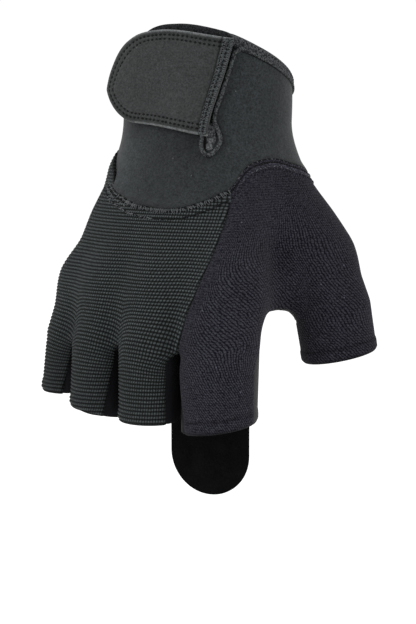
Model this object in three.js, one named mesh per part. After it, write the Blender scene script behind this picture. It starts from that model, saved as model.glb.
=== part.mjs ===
import * as THREE from 'three';

// A fingerless weightlifting glove for the right hand, in the form it has when a hand fills it.
// Millimetres. +Z runs up the forearm, +X towards the thumb and -Y out of the back of the hand.
// The origin is the middle of the wrist.

// Cloth thicknesses
const NEOPRENE = 3.0;
const BINDING_CLOTH = 3.6;
const RIB_CLOTH = 1.6;
const KNIT_CLOTH = 1.6;
const PALM_CLOTH = 1.8;
const GUSSET_CLOTH = 1.2;
const TAB_CLOTH = 2.4;
const TAPE_CLOTH = 1.0;
const FLAP_CLOTH = 1.8;

// Clearances: each panel edge stands back by INSET, and laid-on pieces float by LAY_GAP
const INSET = 0.22;
const LAY_GAP = 0.35;

// Cuff: the slit runs down from the rim and leans with the closure tab beside it
const BINDING_WIDTH = 3.4;
const BINDING_RISE = 0.5;
const SLIT_TOP_HEIGHT = 28.1;
const SLIT_END_HEIGHT = -12.5;
const SLIT_HALF_WIDTH = 0.7;
const SLIT_EYE_HALF_WIDTH = 2.8;
const PIPING_RADIUS = 0.75;
const TONGUE = { halfWidth: 4.2, thickness: 1.2, below: 5 };

// Direction of the slit's middle line by height, in degrees round the wrist
const SLIT_LINE = [
  { height: -13.6, angle: 28.2 },
  { height: -8, angle: 30.1 },
  { height: -3.5, angle: 28.6 },
  { height: 2.3, angle: 29.8 },
  { height: 11.2, angle: 35.2 },
  { height: 19.4, angle: 40.1 },
  { height: 28.2, angle: 44.5 },
  { height: 38, angle: 49 },
];

// Rows of the slit's opening: its lower end widens to an eye
const SLIT_ROWS = [
  { height: 28.1, half: SLIT_HALF_WIDTH },
  { height: 21, half: SLIT_HALF_WIDTH },
  { height: 13, half: SLIT_HALF_WIDTH },
  { height: 5, half: SLIT_HALF_WIDTH },
  { height: -1, half: 1 },
  { height: -5.5, half: SLIT_EYE_HALF_WIDTH },
  { height: -9.5, half: SLIT_EYE_HALF_WIDTH },
  { height: -11.8, half: 1.5 },
];

// Route of the piping beside the slit's middle line, down its far side and round the eye
const PIPING_ROUTE = [
  { beside: 1.65, height: 26.8 },
  { beside: 1.7, height: 18.2 },
  { beside: 1.8, height: 9.3 },
  { beside: 1.9, height: -0.4 },
  { beside: 2.8, height: -2.9 },
  { beside: 3.4, height: -6.2 },
  { beside: 2.9, height: -10.4 },
  { beside: 0.9, height: -13.6 },
  { beside: -1.5, height: -13.4 },
  { beside: -3.4, height: -10.8 },
  { beside: -3.6, height: -7.8 },
  { beside: -3.2, height: -7 },
];

// Closure tab on the back of the cuff, with its root tape beside the slit
const TAB_LENGTH = 57.5;
const TAB_LAY = BINDING_RISE + LAY_GAP;
const TAB_TOP = { root: 30.8, middle: 34.6, tip: 29.7 };
const TAB_BOTTOM = { root: -6, middle: -2.4, tip: -0.4 };
const TAB_CORNER = { top: 21.6, bottom: 14.6 };
const TAB_FLARE = { start: 32, rise: 6 };

// Directions of the tab's root and tip by height, in degrees round the wrist
const TAB_ROOT_LINE = [
  { height: -8, angle: 26.6 },
  { height: -3.5, angle: 26.7 },
  { height: 2.3, angle: 29 },
  { height: 11.2, angle: 34.3 },
  { height: 19.4, angle: 39.1 },
  { height: 28.2, angle: 43.5 },
  { height: 34, angle: 46 },
];
const TAB_TIP_LINE = [
  { height: -2, angle: -53.2 },
  { height: 15, angle: -54.6 },
  { height: 33, angle: -68.8 },
];
const TAPE_WIDTH = 3.4;

// Raised seam between cuff and hand
const SEAM_BAND = { above: 0.8, below: 4.4, rise: 1 };

// Flap that hangs from the palm behind the middle and index fingers
const FLAP = { width: 34, centre: 15, top: -73, tip: -150.5, hang: -86, corner: 16.9, lay: 0.5 };

// Gussets between the fingers: they cross the webs a little below and inside the panels' edges
const GUSSET_DROP = 2.8;
const GUSSET_SET_IN = { dorsal: 3.5, palmar: 3.6 };

// Mesh steps
const STEPS_PER_FINGER = 6;
const CUFF_CLOSED_ROWS = 4;
const HAND_ROWS = 11;
const SLEEVE_ROWS = 6;
const SLEEVE_ROW_CROWDING = 1.4;
const GUSSET_STEPS = 3;
const PIPING_STEPS = 44;
const TONGUE_ROWS = 8;
const TAPE_ROWS = 8;
const TAB_STEPS = 14;
const FLAP_STEPS = { across: 6, palm: 6, hanging: 4, tip: 6 };

// The filled form is a soft union of round cones between stations.
const station = (x, y, z, radius) => ({ centre: new THREE.Vector3(x, y, z), radius });

// Each finger runs from the forearm through wrist root, knuckle and web to its tip. The dorsal and
// palmar angles are where its back panel and its palm panel begin and end, turned from the back of
// the hand towards the thumb. At the web the back panel's two edges lean over by the angles of lean,
// and at the hem by none.
const FINGERS = [
  {
    name: 'pinky',
    forearm: station(-11, 0, 50, 0),
    root: station(-13, 1, -10, 18.4),
    knuckle: station(-36.5, -29, -67, 13),
    web: station(-41.5, -36, -88, 11.7),
    tip: station(-44.6, -39, -127, 11.5),
    hem: { height: -110, rise: 0 },
    dorsal: [-90, 12],
    palmar: [112, 270],
    lean: [0, 20],
  },
  {
    name: 'ring',
    forearm: station(-5, 0, 50, 0),
    root: station(-5, -1, -10, 20),
    knuckle: station(-20, -38, -67, 13.8),
    web: station(-23.5, -45, -89.5, 12.2),
    tip: station(-24, -49, -134, 11.8),
    hem: { height: -115.3, rise: -2.2 },
    dorsal: [-66, 34],
    palmar: [124, 210],
    lean: [0, 26],
  },
  {
    name: 'middle',
    forearm: station(0, 0, 50, 0),
    root: station(4, -2, -10, 20),
    knuckle: station(2, -41, -67, 14.2),
    web: station(0.5, -49, -90, 13),
    tip: station(2, -53, -136, 12.6),
    hem: { height: -116, rise: 0 },
    dorsal: [-54, 54],
    palmar: [136, 220],
    lean: [0, 0],
  },
  {
    name: 'index',
    forearm: station(5, 0, 50, 0),
    root: station(12, -1, -10, 20),
    knuckle: station(27, -37, -67, 15),
    web: station(28, -45, -88, 15.5),
    tip: station(29, -49, -136, 14.9),
    hem: { height: -117, rise: 2 },
    dorsal: [-30, 90],
    palmar: [90, 232],
    lean: [-40, 0],
    crotch: { side: 90, angle: 149 },
  },
  {
    name: 'thumb',
    forearm: station(11, 0, 50, 0),
    root: station(11.5, 4, -16, 14),
    knuckle: station(50, 0, -57, 15),
    web: station(58.8, -5, -75, 15.3),
    tip: station(68, -8, -119, 14.6),
    hem: { height: -92.8, rise: 3 },
    dorsal: [-90, 110],
    palmar: [110, 270],
    lean: [0, 0],
    crotch: { side: -90, angle: -48 },
  },
];
const PINKY = 0;
const MIDDLE = 2;
const INDEX = 3;
const THUMB = 4;

const FOREARM_CONES = [
  [station(13.2, 0, 60, 25), station(11.5, 0, 8, 23.8)],
  [station(11.5, 0, 8, 23.8), station(11, 0, -12, 23)],
  [station(-12, 0, 60, 24), station(-10.6, 0, 8, 23)],
  [station(-10.6, 0, 8, 23), station(-10, 0, -12, 22.4)],
];
const PAD_CONES = [
  [station(16, 11, -20, 14.5), station(38, 6, -46, 14)],
  [station(-15, 9, -16, 16), station(-28.4, -9, -46, 14)],
];
const THUMB_WEB_CONE = [station(29.7, -27.3, -67.6, 6.2), station(52.7, -3.3, -66.6, 6.2)];
const FOREARM_BLEND = 14;
const CHAIN_BLEND = 5;
const PALM_BLEND = 12;
const FINGER_BLEND = 7;
const THUMB_BLEND = 14;
const THUMB_WEB_BLEND = 11;
const SLEEVE_CLEARANCE = 0.3;
const SLEEVE_FLAT_BLEND = 2;

// Ring columns run round the hand: 0 to 5 over the back from the little finger's side to the
// thumb's, then 5 to 10 back over the palm. Guides lie between the axes of two fingers, half a
// column apart, and point at one angle by the wrist and another by the webs. A guide with a delay
// keeps its first angle further down.
const guide = (from, to, angle, low = angle, delay = 1) => ({ from, to, angle, low, delay });
const GUIDES = [
  guide(0, 0, -90),
  guide(0, 0, -28),
  guide(0, 1, -12),
  guide(1, 1, -4),
  guide(1, 2, 0),
  guide(2, 2, 2),
  guide(2, 3, 6),
  guide(3, 3, 16),
  guide(3, 4, 42),
  guide(4, 4, 62),
  guide(4, 4, 110),
  guide(4, 4, 146, 178),
  guide(4, 3, 168, 222, 3),
  guide(3, 3, 177, 192),
  guide(3, 2, 180, 188),
  guide(2, 2, 180),
  guide(2, 1, 180, 171),
  guide(1, 1, 182, 168),
  guide(1, 0, 186, 155),
  guide(0, 0, 208, 198),
  guide(0, 0, 270),
];
const GUIDE_TURN = { start: -8, end: -58 };
const RING = 10;
const PALM_START = 5;
const THUMB_WEB = { dorsal: 4, palmar: 6 };

// Height of the rim by direction round the wrist, in degrees
const RIM = [
  { angle: -180, height: 7 },
  { angle: -135, height: 15 },
  { angle: -90, height: 23.5 },
  { angle: -50, height: 29.5 },
  { angle: -25, height: 36 },
  { angle: 0, height: 37.2 },
  { angle: 22, height: 36.3 },
  { angle: 45, height: 33.2 },
  { angle: 66, height: 27.6 },
  { angle: 88, height: 21.2 },
  { angle: 112, height: 14.4 },
  { angle: 145, height: 8 },
  { angle: 180, height: 7 },
];

// Height of the wrist seam by ring column
const SEAM = [
  { column: 0, height: -9.5 },
  { column: 0.35, height: -23 },
  { column: 0.7, height: -28 },
  { column: 1.1, height: -31 },
  { column: 1.8, height: -34.2 },
  { column: 2.4, height: -34 },
  { column: 2.8, height: -30.2 },
  { column: 3, height: -26.8 },
  { column: 3.4, height: -21.3 },
  { column: 3.8, height: -18.6 },
  { column: 4.4, height: -17.8 },
  { column: 4.8, height: -21 },
  { column: 5.3, height: -25 },
  { column: 6, height: -28 },
  { column: 8, height: -26 },
  { column: 9.5, height: -16 },
  { column: 10, height: -9.5 },
];

// Height of the finger webs by ring column
const WEB = [
  { column: 0, height: -85 },
  { column: 1, height: -87 },
  { column: 2, height: -85.8 },
  { column: 3, height: -87.6 },
  { column: 4, height: -67.6 },
  { column: 5, height: -71 },
  { column: 6, height: -67.6 },
  { column: 7, height: -89 },
  { column: 8, height: -89 },
  { column: 9, height: -87 },
  { column: 10, height: -85 },
];

// The slit stands over one ring column. The columns beside it lean, so that the slit and the
// joint of back and side panel run diagonally.
const SLIT_COLUMN = 3;
const LEAN_REACH = 1.6;
const DIAGONAL_SHIFT = 0.62;

// By the thumb's web the guides fan out to the two sleeves, and those on the web itself turn down
const FAN = { start: 0.55, full: 0.33, fade: 0.5 };
const DIP_REACH = 0.25;
const DIP_START = 0.7;
const DIP_POWER = 1.3;
const CROTCH_REACH = 0.6;
const SLEEVE_REACH = { fingers: 0.26, thumbWeb: 0.5, start: 3.3, full: 3.9 };
const HEM_MIDDLE = 26;

const radians = THREE.MathUtils.degToRad;
const mix = THREE.MathUtils.lerp;
const ease = (x) => THREE.MathUtils.smoothstep(x, 0, 1);

// Value of a table at x, eased between its rows
function lookUp(table, key, x, value = 'height') {
  const last = table.length - 1;
  let row = 0;
  while (row < last - 1 && table[row + 1][key] < x) row += 1;
  const before = table[row];
  const after = table[row + 1];
  const share = THREE.MathUtils.clamp((x - before[key]) / (after[key] - before[key]), 0, 1);
  const previous = table[Math.max(row - 1, 0)];
  const next = table[Math.min(row + 2, last)];
  const span = after[key] - before[key];
  const slopeIn = slope(previous, after, key, value) * span;
  const slopeOut = slope(before, next, key, value) * span;
  const s2 = share * share;
  const s3 = s2 * share;
  return before[value] * (2 * s3 - 3 * s2 + 1) + slopeIn * (s3 - 2 * s2 + share)
    + after[value] * (3 * s2 - 2 * s3) + slopeOut * (s3 - s2);
}

function slope(a, b, key, value) {
  return a === b ? 0 : (b[value] - a[value]) / (b[key] - a[key]);
}

// Distance to a round cone between two stations
function coneDistance(p, a, b) {
  const axis = new THREE.Vector3().subVectors(b.centre, a.centre);
  const offset = new THREE.Vector3().subVectors(p, a.centre);
  const share = THREE.MathUtils.clamp(offset.dot(axis) / axis.lengthSq(), 0, 1);
  return offset.addScaledVector(axis, -share).length() - mix(a.radius, b.radius, share);
}

function softMin(a, b, width) {
  const h = Math.max(width - Math.abs(a - b), 0) / width;
  return Math.min(a, b) - h * h * width * 0.25;
}

function softMax(a, b, width) {
  return -softMin(-a, -b, width);
}

// Distance to the outside of the whole hand, down to the webs
function handForm(p) {
  let forearm = Infinity;
  for (const side of [FOREARM_CONES.slice(0, 2), FOREARM_CONES.slice(2)]) {
    const near = softMin(...side.map(([a, b]) => coneDistance(p, a, b)), CHAIN_BLEND);
    forearm = forearm === Infinity ? near : softMin(forearm, near, FOREARM_BLEND);
  }
  let palm = forearm;
  for (const finger of FINGERS.slice(PINKY, THUMB)) {
    palm = softMin(palm, coneDistance(p, finger.root, finger.knuckle), PALM_BLEND);
  }
  for (const [a, b] of PAD_CONES) palm = softMin(palm, coneDistance(p, a, b), PALM_BLEND);
  for (const finger of FINGERS.slice(PINKY, THUMB)) {
    palm = softMin(palm, coneDistance(p, finger.knuckle, finger.web), FINGER_BLEND);
  }
  const thumb = FINGERS[THUMB];
  const thumbTop = softMin(
    coneDistance(p, thumb.root, thumb.knuckle),
    coneDistance(p, thumb.knuckle, thumb.web),
    CHAIN_BLEND,
  );
  const thumbDistance = Math.min(thumbTop, coneDistance(p, thumb.web, thumb.tip));
  palm = softMin(palm, thumbDistance, THUMB_BLEND);
  return softMin(palm, coneDistance(p, ...THUMB_WEB_CONE), THUMB_WEB_BLEND);
}

// Distance to one finger's own sleeve, flattened where it meets its neighbours
function sleeveForm(number) {
  const finger = FINGERS[number];
  const beside = number === THUMB ? [] : [number - 1, number + 1];
  const neighbours = beside.filter((n) => n >= PINKY && n <= INDEX);
  return (p) => {
    let distance = Math.min(
      coneDistance(p, finger.knuckle, finger.web),
      coneDistance(p, finger.web, finger.tip),
    );
    for (const n of neighbours) {
      const own = axisPoint(finger, p.z);
      const other = axisPoint(FINGERS[n], p.z);
      const across = other.point.clone().sub(own.point);
      const half = across.length() * own.radius / (own.radius + other.radius);
      const beyond = p.clone().sub(own.point).dot(across.normalize()) - half + SLEEVE_CLEARANCE;
      distance = softMax(distance, beyond, SLEEVE_FLAT_BLEND);
    }
    return distance;
  };
}

// Point and radius of a finger's axis at one height
function axisPoint(finger, z) {
  const stations = [finger.forearm, finger.root, finger.knuckle, finger.web, finger.tip];
  let k = 0;
  while (k < stations.length - 2 && stations[k + 1].centre.z > z) k += 1;
  const [a, b] = [stations[k], stations[k + 1]];
  const share = (z - a.centre.z) / (b.centre.z - a.centre.z);
  return {
    point: new THREE.Vector3().lerpVectors(a.centre, b.centre, share),
    radius: mix(a.radius, b.radius, share),
  };
}

const RAY_STEPS = 90;
const RAY_TOLERANCE = 1e-4;
const DOWN = new THREE.Vector3(0, 0, -1);
const heading = (angle) => new THREE.Vector3(Math.sin(radians(angle)), -Math.cos(radians(angle)), 0);

// Origin and angle of the ray that finds the hand's surface at a ring column and height
function guideAt(column, z) {
  const u = ((column % RING) + RING) % RING;
  const k = Math.min(Math.floor(u * 2), GUIDES.length - 2);
  const share = u * 2 - k;
  const ends = [GUIDES[k], GUIDES[k + 1]].map((guide) => {
    const from = axisPoint(FINGERS[guide.from], z).point;
    return from.lerp(axisPoint(FINGERS[guide.to], z).point, 0.5);
  });
  const low = ease((z - GUIDE_TURN.start) / (GUIDE_TURN.end - GUIDE_TURN.start));
  const angles = [GUIDES[k], GUIDES[k + 1]].map((guide) => mix(guide.angle, guide.low, low ** guide.delay));
  return { origin: ends[0].lerp(ends[1], share), angle: mix(...angles, share) };
}

// Where a ray from inside a form reaches its surface, or the height lift over it
function surfacePoint(form, origin, direction, lift = 0) {
  const position = origin.clone();
  let distance = Infinity;
  for (let step = 0; step < RAY_STEPS && Math.abs(distance) > RAY_TOLERANCE; step += 1) {
    distance = form(position) - lift;
    position.addScaledVector(direction, -distance);
  }
  return { position, normal: normalOf(form, position) };
}

function normalOf(form, p) {
  const step = 0.05;
  const along = (x, y, z) => form(new THREE.Vector3(p.x + x, p.y + y, p.z + z));
  return new THREE.Vector3(
    along(step, 0, 0) - along(-step, 0, 0),
    along(0, step, 0) - along(0, -step, 0),
    along(0, 0, step) - along(0, 0, -step),
  ).normalize();
}

// Share of a lean that a column takes, falling away from the slit's column
function leanShare(column) {
  const u = ((column % RING) + RING) % RING;
  return Math.max(0, 1 - Math.abs(u - SLIT_COLUMN) / LEAN_REACH);
}

// The columns lean at the wrist, so that the joint of ribbed back and knitted side runs diagonally
function leaningColumn(column, s) {
  return column + DIAGONAL_SHIFT * leanShare(column) * (1 - ease(s));
}

const seamHeight = (column) => lookUp(SEAM, 'column', ((column % RING) + RING) % RING);
const webHeight = (column) => lookUp(WEB, 'column', ((column % RING) + RING) % RING);

// The finger that a ring column belongs to, and the angle at which its sleeve has that column
function ownerOf(column) {
  const overBack = column < PALM_START;
  const number = overBack ? Math.floor(column) : RING - Math.ceil(column + 1e-9);
  const sleeve = overBack ? dorsalSleeve(number) : palmarSleeve(number);
  return { number, turn: mix(...sleeve.angles(0), column - sleeve.start) };
}

// Ray that finds the hand's surface. Near the thumb's web, rays fan out from index finger and thumb
// as their sleeves do, and the rays on the web itself turn down.
function handRay(column, s) {
  const z = mix(seamHeight(column), webHeight(column), s);
  const { origin, angle } = guideAt(leaningColumn(column, s), z);
  const fromWeb = Math.min(Math.abs(column - THUMB_WEB.dorsal), Math.abs(column - THUMB_WEB.palmar));
  const low = ease((s - FAN.start) / (1 - FAN.start));
  if (fromWeb >= 1 || low === 0) return { origin, direction: heading(angle) };
  const { number, turn } = ownerOf(column);
  const fan = low * ease(fromWeb / FAN.full) * ease((1 - fromWeb) / FAN.fade);
  const dip = Math.PI / 2 * Math.max(0, 1 - fromWeb / DIP_REACH)
    * THREE.MathUtils.clamp((s - DIP_START) / (1 - DIP_START), 0, 1) ** DIP_POWER;
  const direction = heading(mix(angle, turn, fan)).multiplyScalar(Math.cos(dip))
    .addScaledVector(DOWN, Math.sin(dip));
  return { origin: origin.lerp(axisPoint(FINGERS[number], z).point, fan), direction };
}

// A point of the hand between wrist seam (s = 0) and webs (s = 1)
function handPoint(column, s) {
  const { origin, direction } = handRay(column, s);
  return surfacePoint(handForm, origin, direction);
}

// Height of a finger's hem by direction: it rises to one side of the middle that faces HEM_MIDDLE
const hemHeight = ({ hem }, angle) => hem.height + hem.rise * Math.sin(radians(angle - HEM_MIDDLE));

// Share of its length within which a sleeve passes from the hand's form to its own
function sleeveReach(column) {
  const { fingers, thumbWeb, start, full } = SLEEVE_REACH;
  const fromBack = Math.min(column, RING - column);
  return mix(fingers, thumbWeb, THREE.MathUtils.clamp((fromBack - start) / (full - start), 0, 1));
}

// A point of a sleeve between its webs (s = 0) and its hem (s = 1)
function sleevePoint({ number, start, angles }, column, s) {
  const finger = FINGERS[number];
  const own = sleeveForm(number);
  const share = ease(s / sleeveReach(column));
  const z = mix(webHeight(column), hemHeight(finger, mix(...angles(1), column - start)), s);
  const ray = handRay(column, 1);
  const turned = heading(mix(...angles(s), column - start));
  const origin = ray.origin.setZ(z).lerp(axisPoint(finger, z).point, share);
  const form = (p) => mix(handForm(p), own(p), share);
  return surfacePoint(form, origin, ray.direction.lerp(turned, share).normalize());
}

// A patch is a sheet of outer points with their normals and the faces between them.
class Patch {
  constructor() {
    this.points = [];
    this.normals = [];
    this.faces = [];
    this.byName = new Map();
  }

  vertex(name, make) {
    if (!this.byName.has(name)) {
      const { position, normal } = make();
      this.byName.set(name, this.points.length);
      this.points.push(position);
      this.normals.push(normal);
    }
    return this.byName.get(name);
  }

  quad(a, b, c, d) {
    if (a !== b && b !== c && a !== c) this.faces.push([a, b, c]);
    if (a !== c && c !== d && a !== d) this.faces.push([a, c, d]);
  }

  // Faces of a grid of vertex numbers, rows running down and columns to the thumb's side
  grid(rows) {
    for (let r = 0; r + 1 < rows.length; r += 1) {
      for (let c = 0; c + 1 < rows[r].length; c += 1) {
        this.quad(rows[r][c], rows[r + 1][c], rows[r + 1][c + 1], rows[r][c + 1]);
      }
    }
  }

  edges() {
    const open = new Map();
    for (const [a, b, c] of this.faces) {
      for (const [from, to] of [[a, b], [b, c], [c, a]]) {
        if (!open.delete(`${to}>${from}`)) open.set(`${from}>${to}`, [from, to]);
      }
    }
    return [...open.values()];
  }

  // Draws every free edge back into the sheet
  drawBack(distance) {
    const moves = new Map();
    for (const [from, to] of this.edges()) {
      const run = this.points[to].clone().sub(this.points[from]).normalize();
      for (const end of [from, to]) {
        const inward = this.normals[end].clone().cross(run).normalize();
        if (!moves.has(end)) moves.set(end, []);
        moves.get(end).push(inward);
      }
    }
    for (const [end, parts] of moves) {
      const sum = parts.reduce((total, part) => total.add(part.clone()), new THREE.Vector3());
      const length = Math.max(sum.lengthSq() / 2, 0.5);
      this.points[end].addScaledVector(sum, distance / length);
    }
    return this;
  }

  // The closed solid between two offsets from the sheet, outer first
  solid(outer, inner) {
    const count = this.points.length;
    const positions = [];
    for (const offset of [outer, inner]) {
      this.points.forEach((point, k) => {
        positions.push(...point.clone().addScaledVector(this.normals[k], offset).toArray());
      });
    }
    const index = [];
    for (const [a, b, c] of this.faces) index.push(a, b, c, a + count, c + count, b + count);
    for (const [from, to] of this.edges()) {
      index.push(to, from, from + count, to, from + count, to + count);
    }
    const geometry = new THREE.BufferGeometry();
    geometry.setAttribute('position', new THREE.Float32BufferAttribute(positions, 3));
    geometry.setIndex(index);
    geometry.computeVertexNormals();
    return geometry;
  }
}

const range = (count, first = 0, last = 1) =>
  Array.from({ length: count + 1 }, (_, k) => mix(first, last, k / count));
const sleeveShares = range(SLEEVE_ROWS).map((share) => share ** SLEEVE_ROW_CROWDING);

// The part of the hand between two ring columns, with the sleeves that hang from it
function handPatch(firstColumn, lastColumn, sleeves) {
  const patch = new Patch();
  const columns = range((lastColumn - firstColumn) * STEPS_PER_FINGER, firstColumn, lastColumn);
  const rows = range(HAND_ROWS);
  const name = (s, column) => `hand ${s.toFixed(4)} ${column.toFixed(4)}`;
  patch.grid(rows.map((s) => columns.map((column) => (
    patch.vertex(name(s, column), () => handPoint(column, s))
  ))));
  for (const sleeve of sleeves) {
    const across = range(STEPS_PER_FINGER, sleeve.start, sleeve.start + 1);
    patch.grid(sleeveShares.map((s) => across.map((column) => {
      if (s === 0) return patch.vertex(name(1, column), () => handPoint(column, 1));
      return patch.vertex(`sleeve ${sleeve.number} ${s.toFixed(4)} ${column.toFixed(4)}`, () => (
        sleevePoint(sleeve, column, s)
      ));
    })));
  }
  return patch.drawBack(INSET);
}

// Angles at which a sleeve's panel begins and ends. The edge by the thumb's web starts at the web's
// middle and turns to the finger's side further down.
function sleeveAngles({ crotch }, ends, s) {
  return ends.map((angle) => {
    if (!crotch || (angle - crotch.side) % 360 !== 0) return angle;
    return angle + (crotch.angle - crotch.side) * (1 - ease(s / CROTCH_REACH));
  });
}

// The same for a back panel, whose edges also lean over at the web
function dorsalAngles({ dorsal, lean, crotch }, s) {
  return sleeveAngles({ crotch }, dorsal, s).map((angle, side) => angle + lean[side] * (1 - s));
}

const dorsalSleeve = (number) => ({
  number,
  start: number,
  angles: (s) => dorsalAngles(FINGERS[number], s),
});
const palmarSleeve = (number) => ({
  number,
  start: RING - 1 - number,
  angles: (s) => sleeveAngles(FINGERS[number], FINGERS[number].palmar, s),
});

function backPanel() {
  return handPatch(0, SLIT_COLUMN, [0, 1, 2].map(dorsalSleeve)).solid(0, -RIB_CLOTH);
}

function sidePanel() {
  return handPatch(SLIT_COLUMN, PALM_START, [INDEX, THUMB].map(dorsalSleeve)).solid(0, -KNIT_CLOTH);
}

function palmPanel() {
  return handPatch(PALM_START, RING, [4, 3, 2, 1, 0].map(palmarSleeve)).solid(0, -PALM_CLOTH);
}

// A gusset runs from one finger's hem up its side, over the web and down the next finger's side.
function gusset(number) {
  const patch = new Patch();
  const dorsalColumn = number + 1;
  const palmarColumn = RING - 1 - number;
  const dorsalWeb = handPoint(dorsalColumn, 1);
  const palmarWeb = handPoint(palmarColumn, 1);
  const steps = range(GUSSET_STEPS);
  const depth = dorsalWeb.position.distanceTo(palmarWeb.position);
  const crotch = (c) => {
    const position = dorsalWeb.position.clone().lerp(palmarWeb.position, (
      mix(GUSSET_SET_IN.dorsal / depth, 1 - GUSSET_SET_IN.palmar / depth, c)
    ));
    position.addScaledVector(DOWN, GUSSET_DROP);
    const near = axisPoint(FINGERS[number], position.z);
    const far = axisPoint(FINGERS[number + 1], position.z);
    const across = far.point.clone().sub(near.point);
    const middle = across.length() * near.radius / (near.radius + far.radius);
    across.normalize();
    const beyond = position.clone().sub(near.point).dot(across) - middle;
    return { position: position.addScaledVector(across, -beyond), normal: DOWN.clone() };
  };
  const side = (finger, s, c) => {
    const towardsThumb = finger === number;
    if (c === 0) return sleevePoint(dorsalSleeve(finger), dorsalColumn, s);
    if (c === 1) return sleevePoint(palmarSleeve(finger), palmarColumn, s);
    const { palmar } = FINGERS[finger];
    const [first, last] = dorsalAngles(FINGERS[finger], s);
    const angle = towardsThumb ? mix(last, palmar[0], c) : mix(first, palmar[1] - 360, c);
    const z = mix(webHeight(dorsalColumn), hemHeight(FINGERS[finger], angle), s);
    return surfacePoint(sleeveForm(finger), axisPoint(FINGERS[finger], z).point, heading(angle));
  };
  const shares = sleeveShares.slice(2);
  const rows = [];
  for (const s of shares.toReversed()) {
    rows.push(steps.map((c) => patch.vertex(`a ${s} ${c}`, () => side(number, s, c))));
  }
  rows.push(steps.map((c) => patch.vertex(`web ${c}`, () => crotch(c))));
  for (const s of shares) {
    rows.push(steps.map((c) => patch.vertex(`b ${s} ${c}`, () => side(number + 1, s, c))));
  }
  patch.grid(rows.reverse());
  return patch.drawBack(INSET).solid(0, -GUSSET_CLOTH);
}

// Direction of a point round the wrist, in degrees from the back of the hand towards the thumb
const azimuthOf = (p) => THREE.MathUtils.radToDeg(Math.atan2(p.x, -p.y));
const rimHeight = (azimuth) => lookUp(RIM, 'angle', azimuth);

// A point of the cuff's outside at an azimuth and height
function wristPoint(azimuth, z, lift = 0) {
  return surfacePoint(handForm, new THREE.Vector3(0, 0, z), heading(azimuth), lift);
}

const slitAzimuth = (z) => lookUp(SLIT_LINE, 'height', z, 'angle');

// A point beside the slit's middle line, a few millimetres round the wrist from it
function besideSlit(offset, z, lift = 0) {
  const middle = wristPoint(slitAzimuth(z), z).position;
  const degrees = THREE.MathUtils.radToDeg(offset / Math.hypot(middle.x, middle.y));
  return wristPoint(slitAzimuth(z) + degrees, z, lift);
}

// Ring column of the point that the slit's middle line has at height z
function slitColumn(z) {
  let low = 2;
  let high = 5;
  for (let step = 0; step < 30; step += 1) {
    const middle = (low + high) / 2;
    const { origin, angle } = guideAt(middle, z);
    const azimuth = azimuthOf(surfacePoint(handForm, origin, heading(angle)).position);
    if (azimuth < slitAzimuth(z)) low = middle;
    else high = middle;
  }
  return (low + high) / 2;
}

// Height of the rim above a ring column
function rimAbove(column) {
  const { origin, angle } = guideAt(column, 25);
  return rimHeight(azimuthOf(surfacePoint(handForm, origin, heading(angle)).position));
}

// A point of the cuff at a height, with its columns leaning along the slit
function cuffPoint(column, place, lift = 0) {
  const u = column + (place.slitColumn - SLIT_COLUMN) * leanShare(column);
  const z = place.height(u, column);
  const { origin, angle } = guideAt(u, z);
  return surfacePoint(handForm, origin, heading(angle), lift);
}

// Sheet round the whole wrist through rows of places, open along the slit where a row says so
function cuffPatch(places, lift = 0) {
  const patch = new Patch();
  const columns = range(RING * STEPS_PER_FINGER, SLIT_COLUMN, SLIT_COLUMN + RING);
  const last = columns.length - 1;
  patch.grid(places.map((place, row) => columns.map((column, k) => {
    const side = k === 0 ? 1 : -1;
    const atSlit = k === 0 || k === last;
    if (atSlit && place.open) {
      return patch.vertex(`${row} ${side}`, () => besideSlit(side * place.open, place.slitHeight, lift));
    }
    return patch.vertex(`${row} ${k % last}`, () => cuffPoint(column, place, lift));
  })));
  return patch;
}

// A row of the cuff whose point at the slit has the given height
function cuffRow(height, open = 0) {
  const foot = seamHeight(SLIT_COLUMN);
  const s = (SLIT_TOP_HEIGHT - height) / (SLIT_TOP_HEIGHT - foot);
  const onSlit = slitColumn(Math.max(height, SLIT_END_HEIGHT));
  const below = ease((SLIT_END_HEIGHT - height) / (SLIT_END_HEIGHT - foot));
  return {
    open,
    slitHeight: height,
    slitColumn: mix(onSlit, SLIT_COLUMN + DIAGONAL_SHIFT, below),
    height: (u, column) => mix(rimAbove(u) - BINDING_WIDTH, seamHeight(column), s),
  };
}

function wristCuff() {
  const open = SLIT_ROWS.map((row) => cuffRow(row.height, row.half));
  const closed = range(CUFF_CLOSED_ROWS, SLIT_END_HEIGHT, seamHeight(SLIT_COLUMN));
  const rows = [...open, ...closed.map((height) => cuffRow(height))];
  return cuffPatch(rows).drawBack(INSET).solid(0, -NEOPRENE);
}

function cuffBinding() {
  const top = cuffRow(SLIT_TOP_HEIGHT, SLIT_HALF_WIDTH);
  const rows = range(2, BINDING_WIDTH, 0).map((rise) => ({
    ...top,
    slitHeight: SLIT_TOP_HEIGHT + rise,
    height: (u, column) => top.height(u, column) + rise,
  }));
  return cuffPatch(rows).drawBack(INSET).solid(BINDING_RISE, BINDING_RISE - BINDING_CLOTH);
}

// Round cord along a curve, closed by flat ends
function cordAlong(curve, radius, steps) {
  const section = new THREE.Shape();
  section.absarc(0, 0, radius, 0, Math.PI * 2, false);
  return new THREE.ExtrudeGeometry(section, {
    steps,
    extrudePath: curve,
    bevelEnabled: false,
    curveSegments: 4,
  });
}

function slitPiping() {
  const lift = PIPING_RADIUS + LAY_GAP;
  const path = PIPING_ROUTE.map((place) => besideSlit(place.beside, place.height, lift).position);
  const curve = new THREE.CatmullRomCurve3(path, false, 'centripetal');
  return cordAlong(curve, PIPING_RADIUS, PIPING_STEPS);
}

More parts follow.
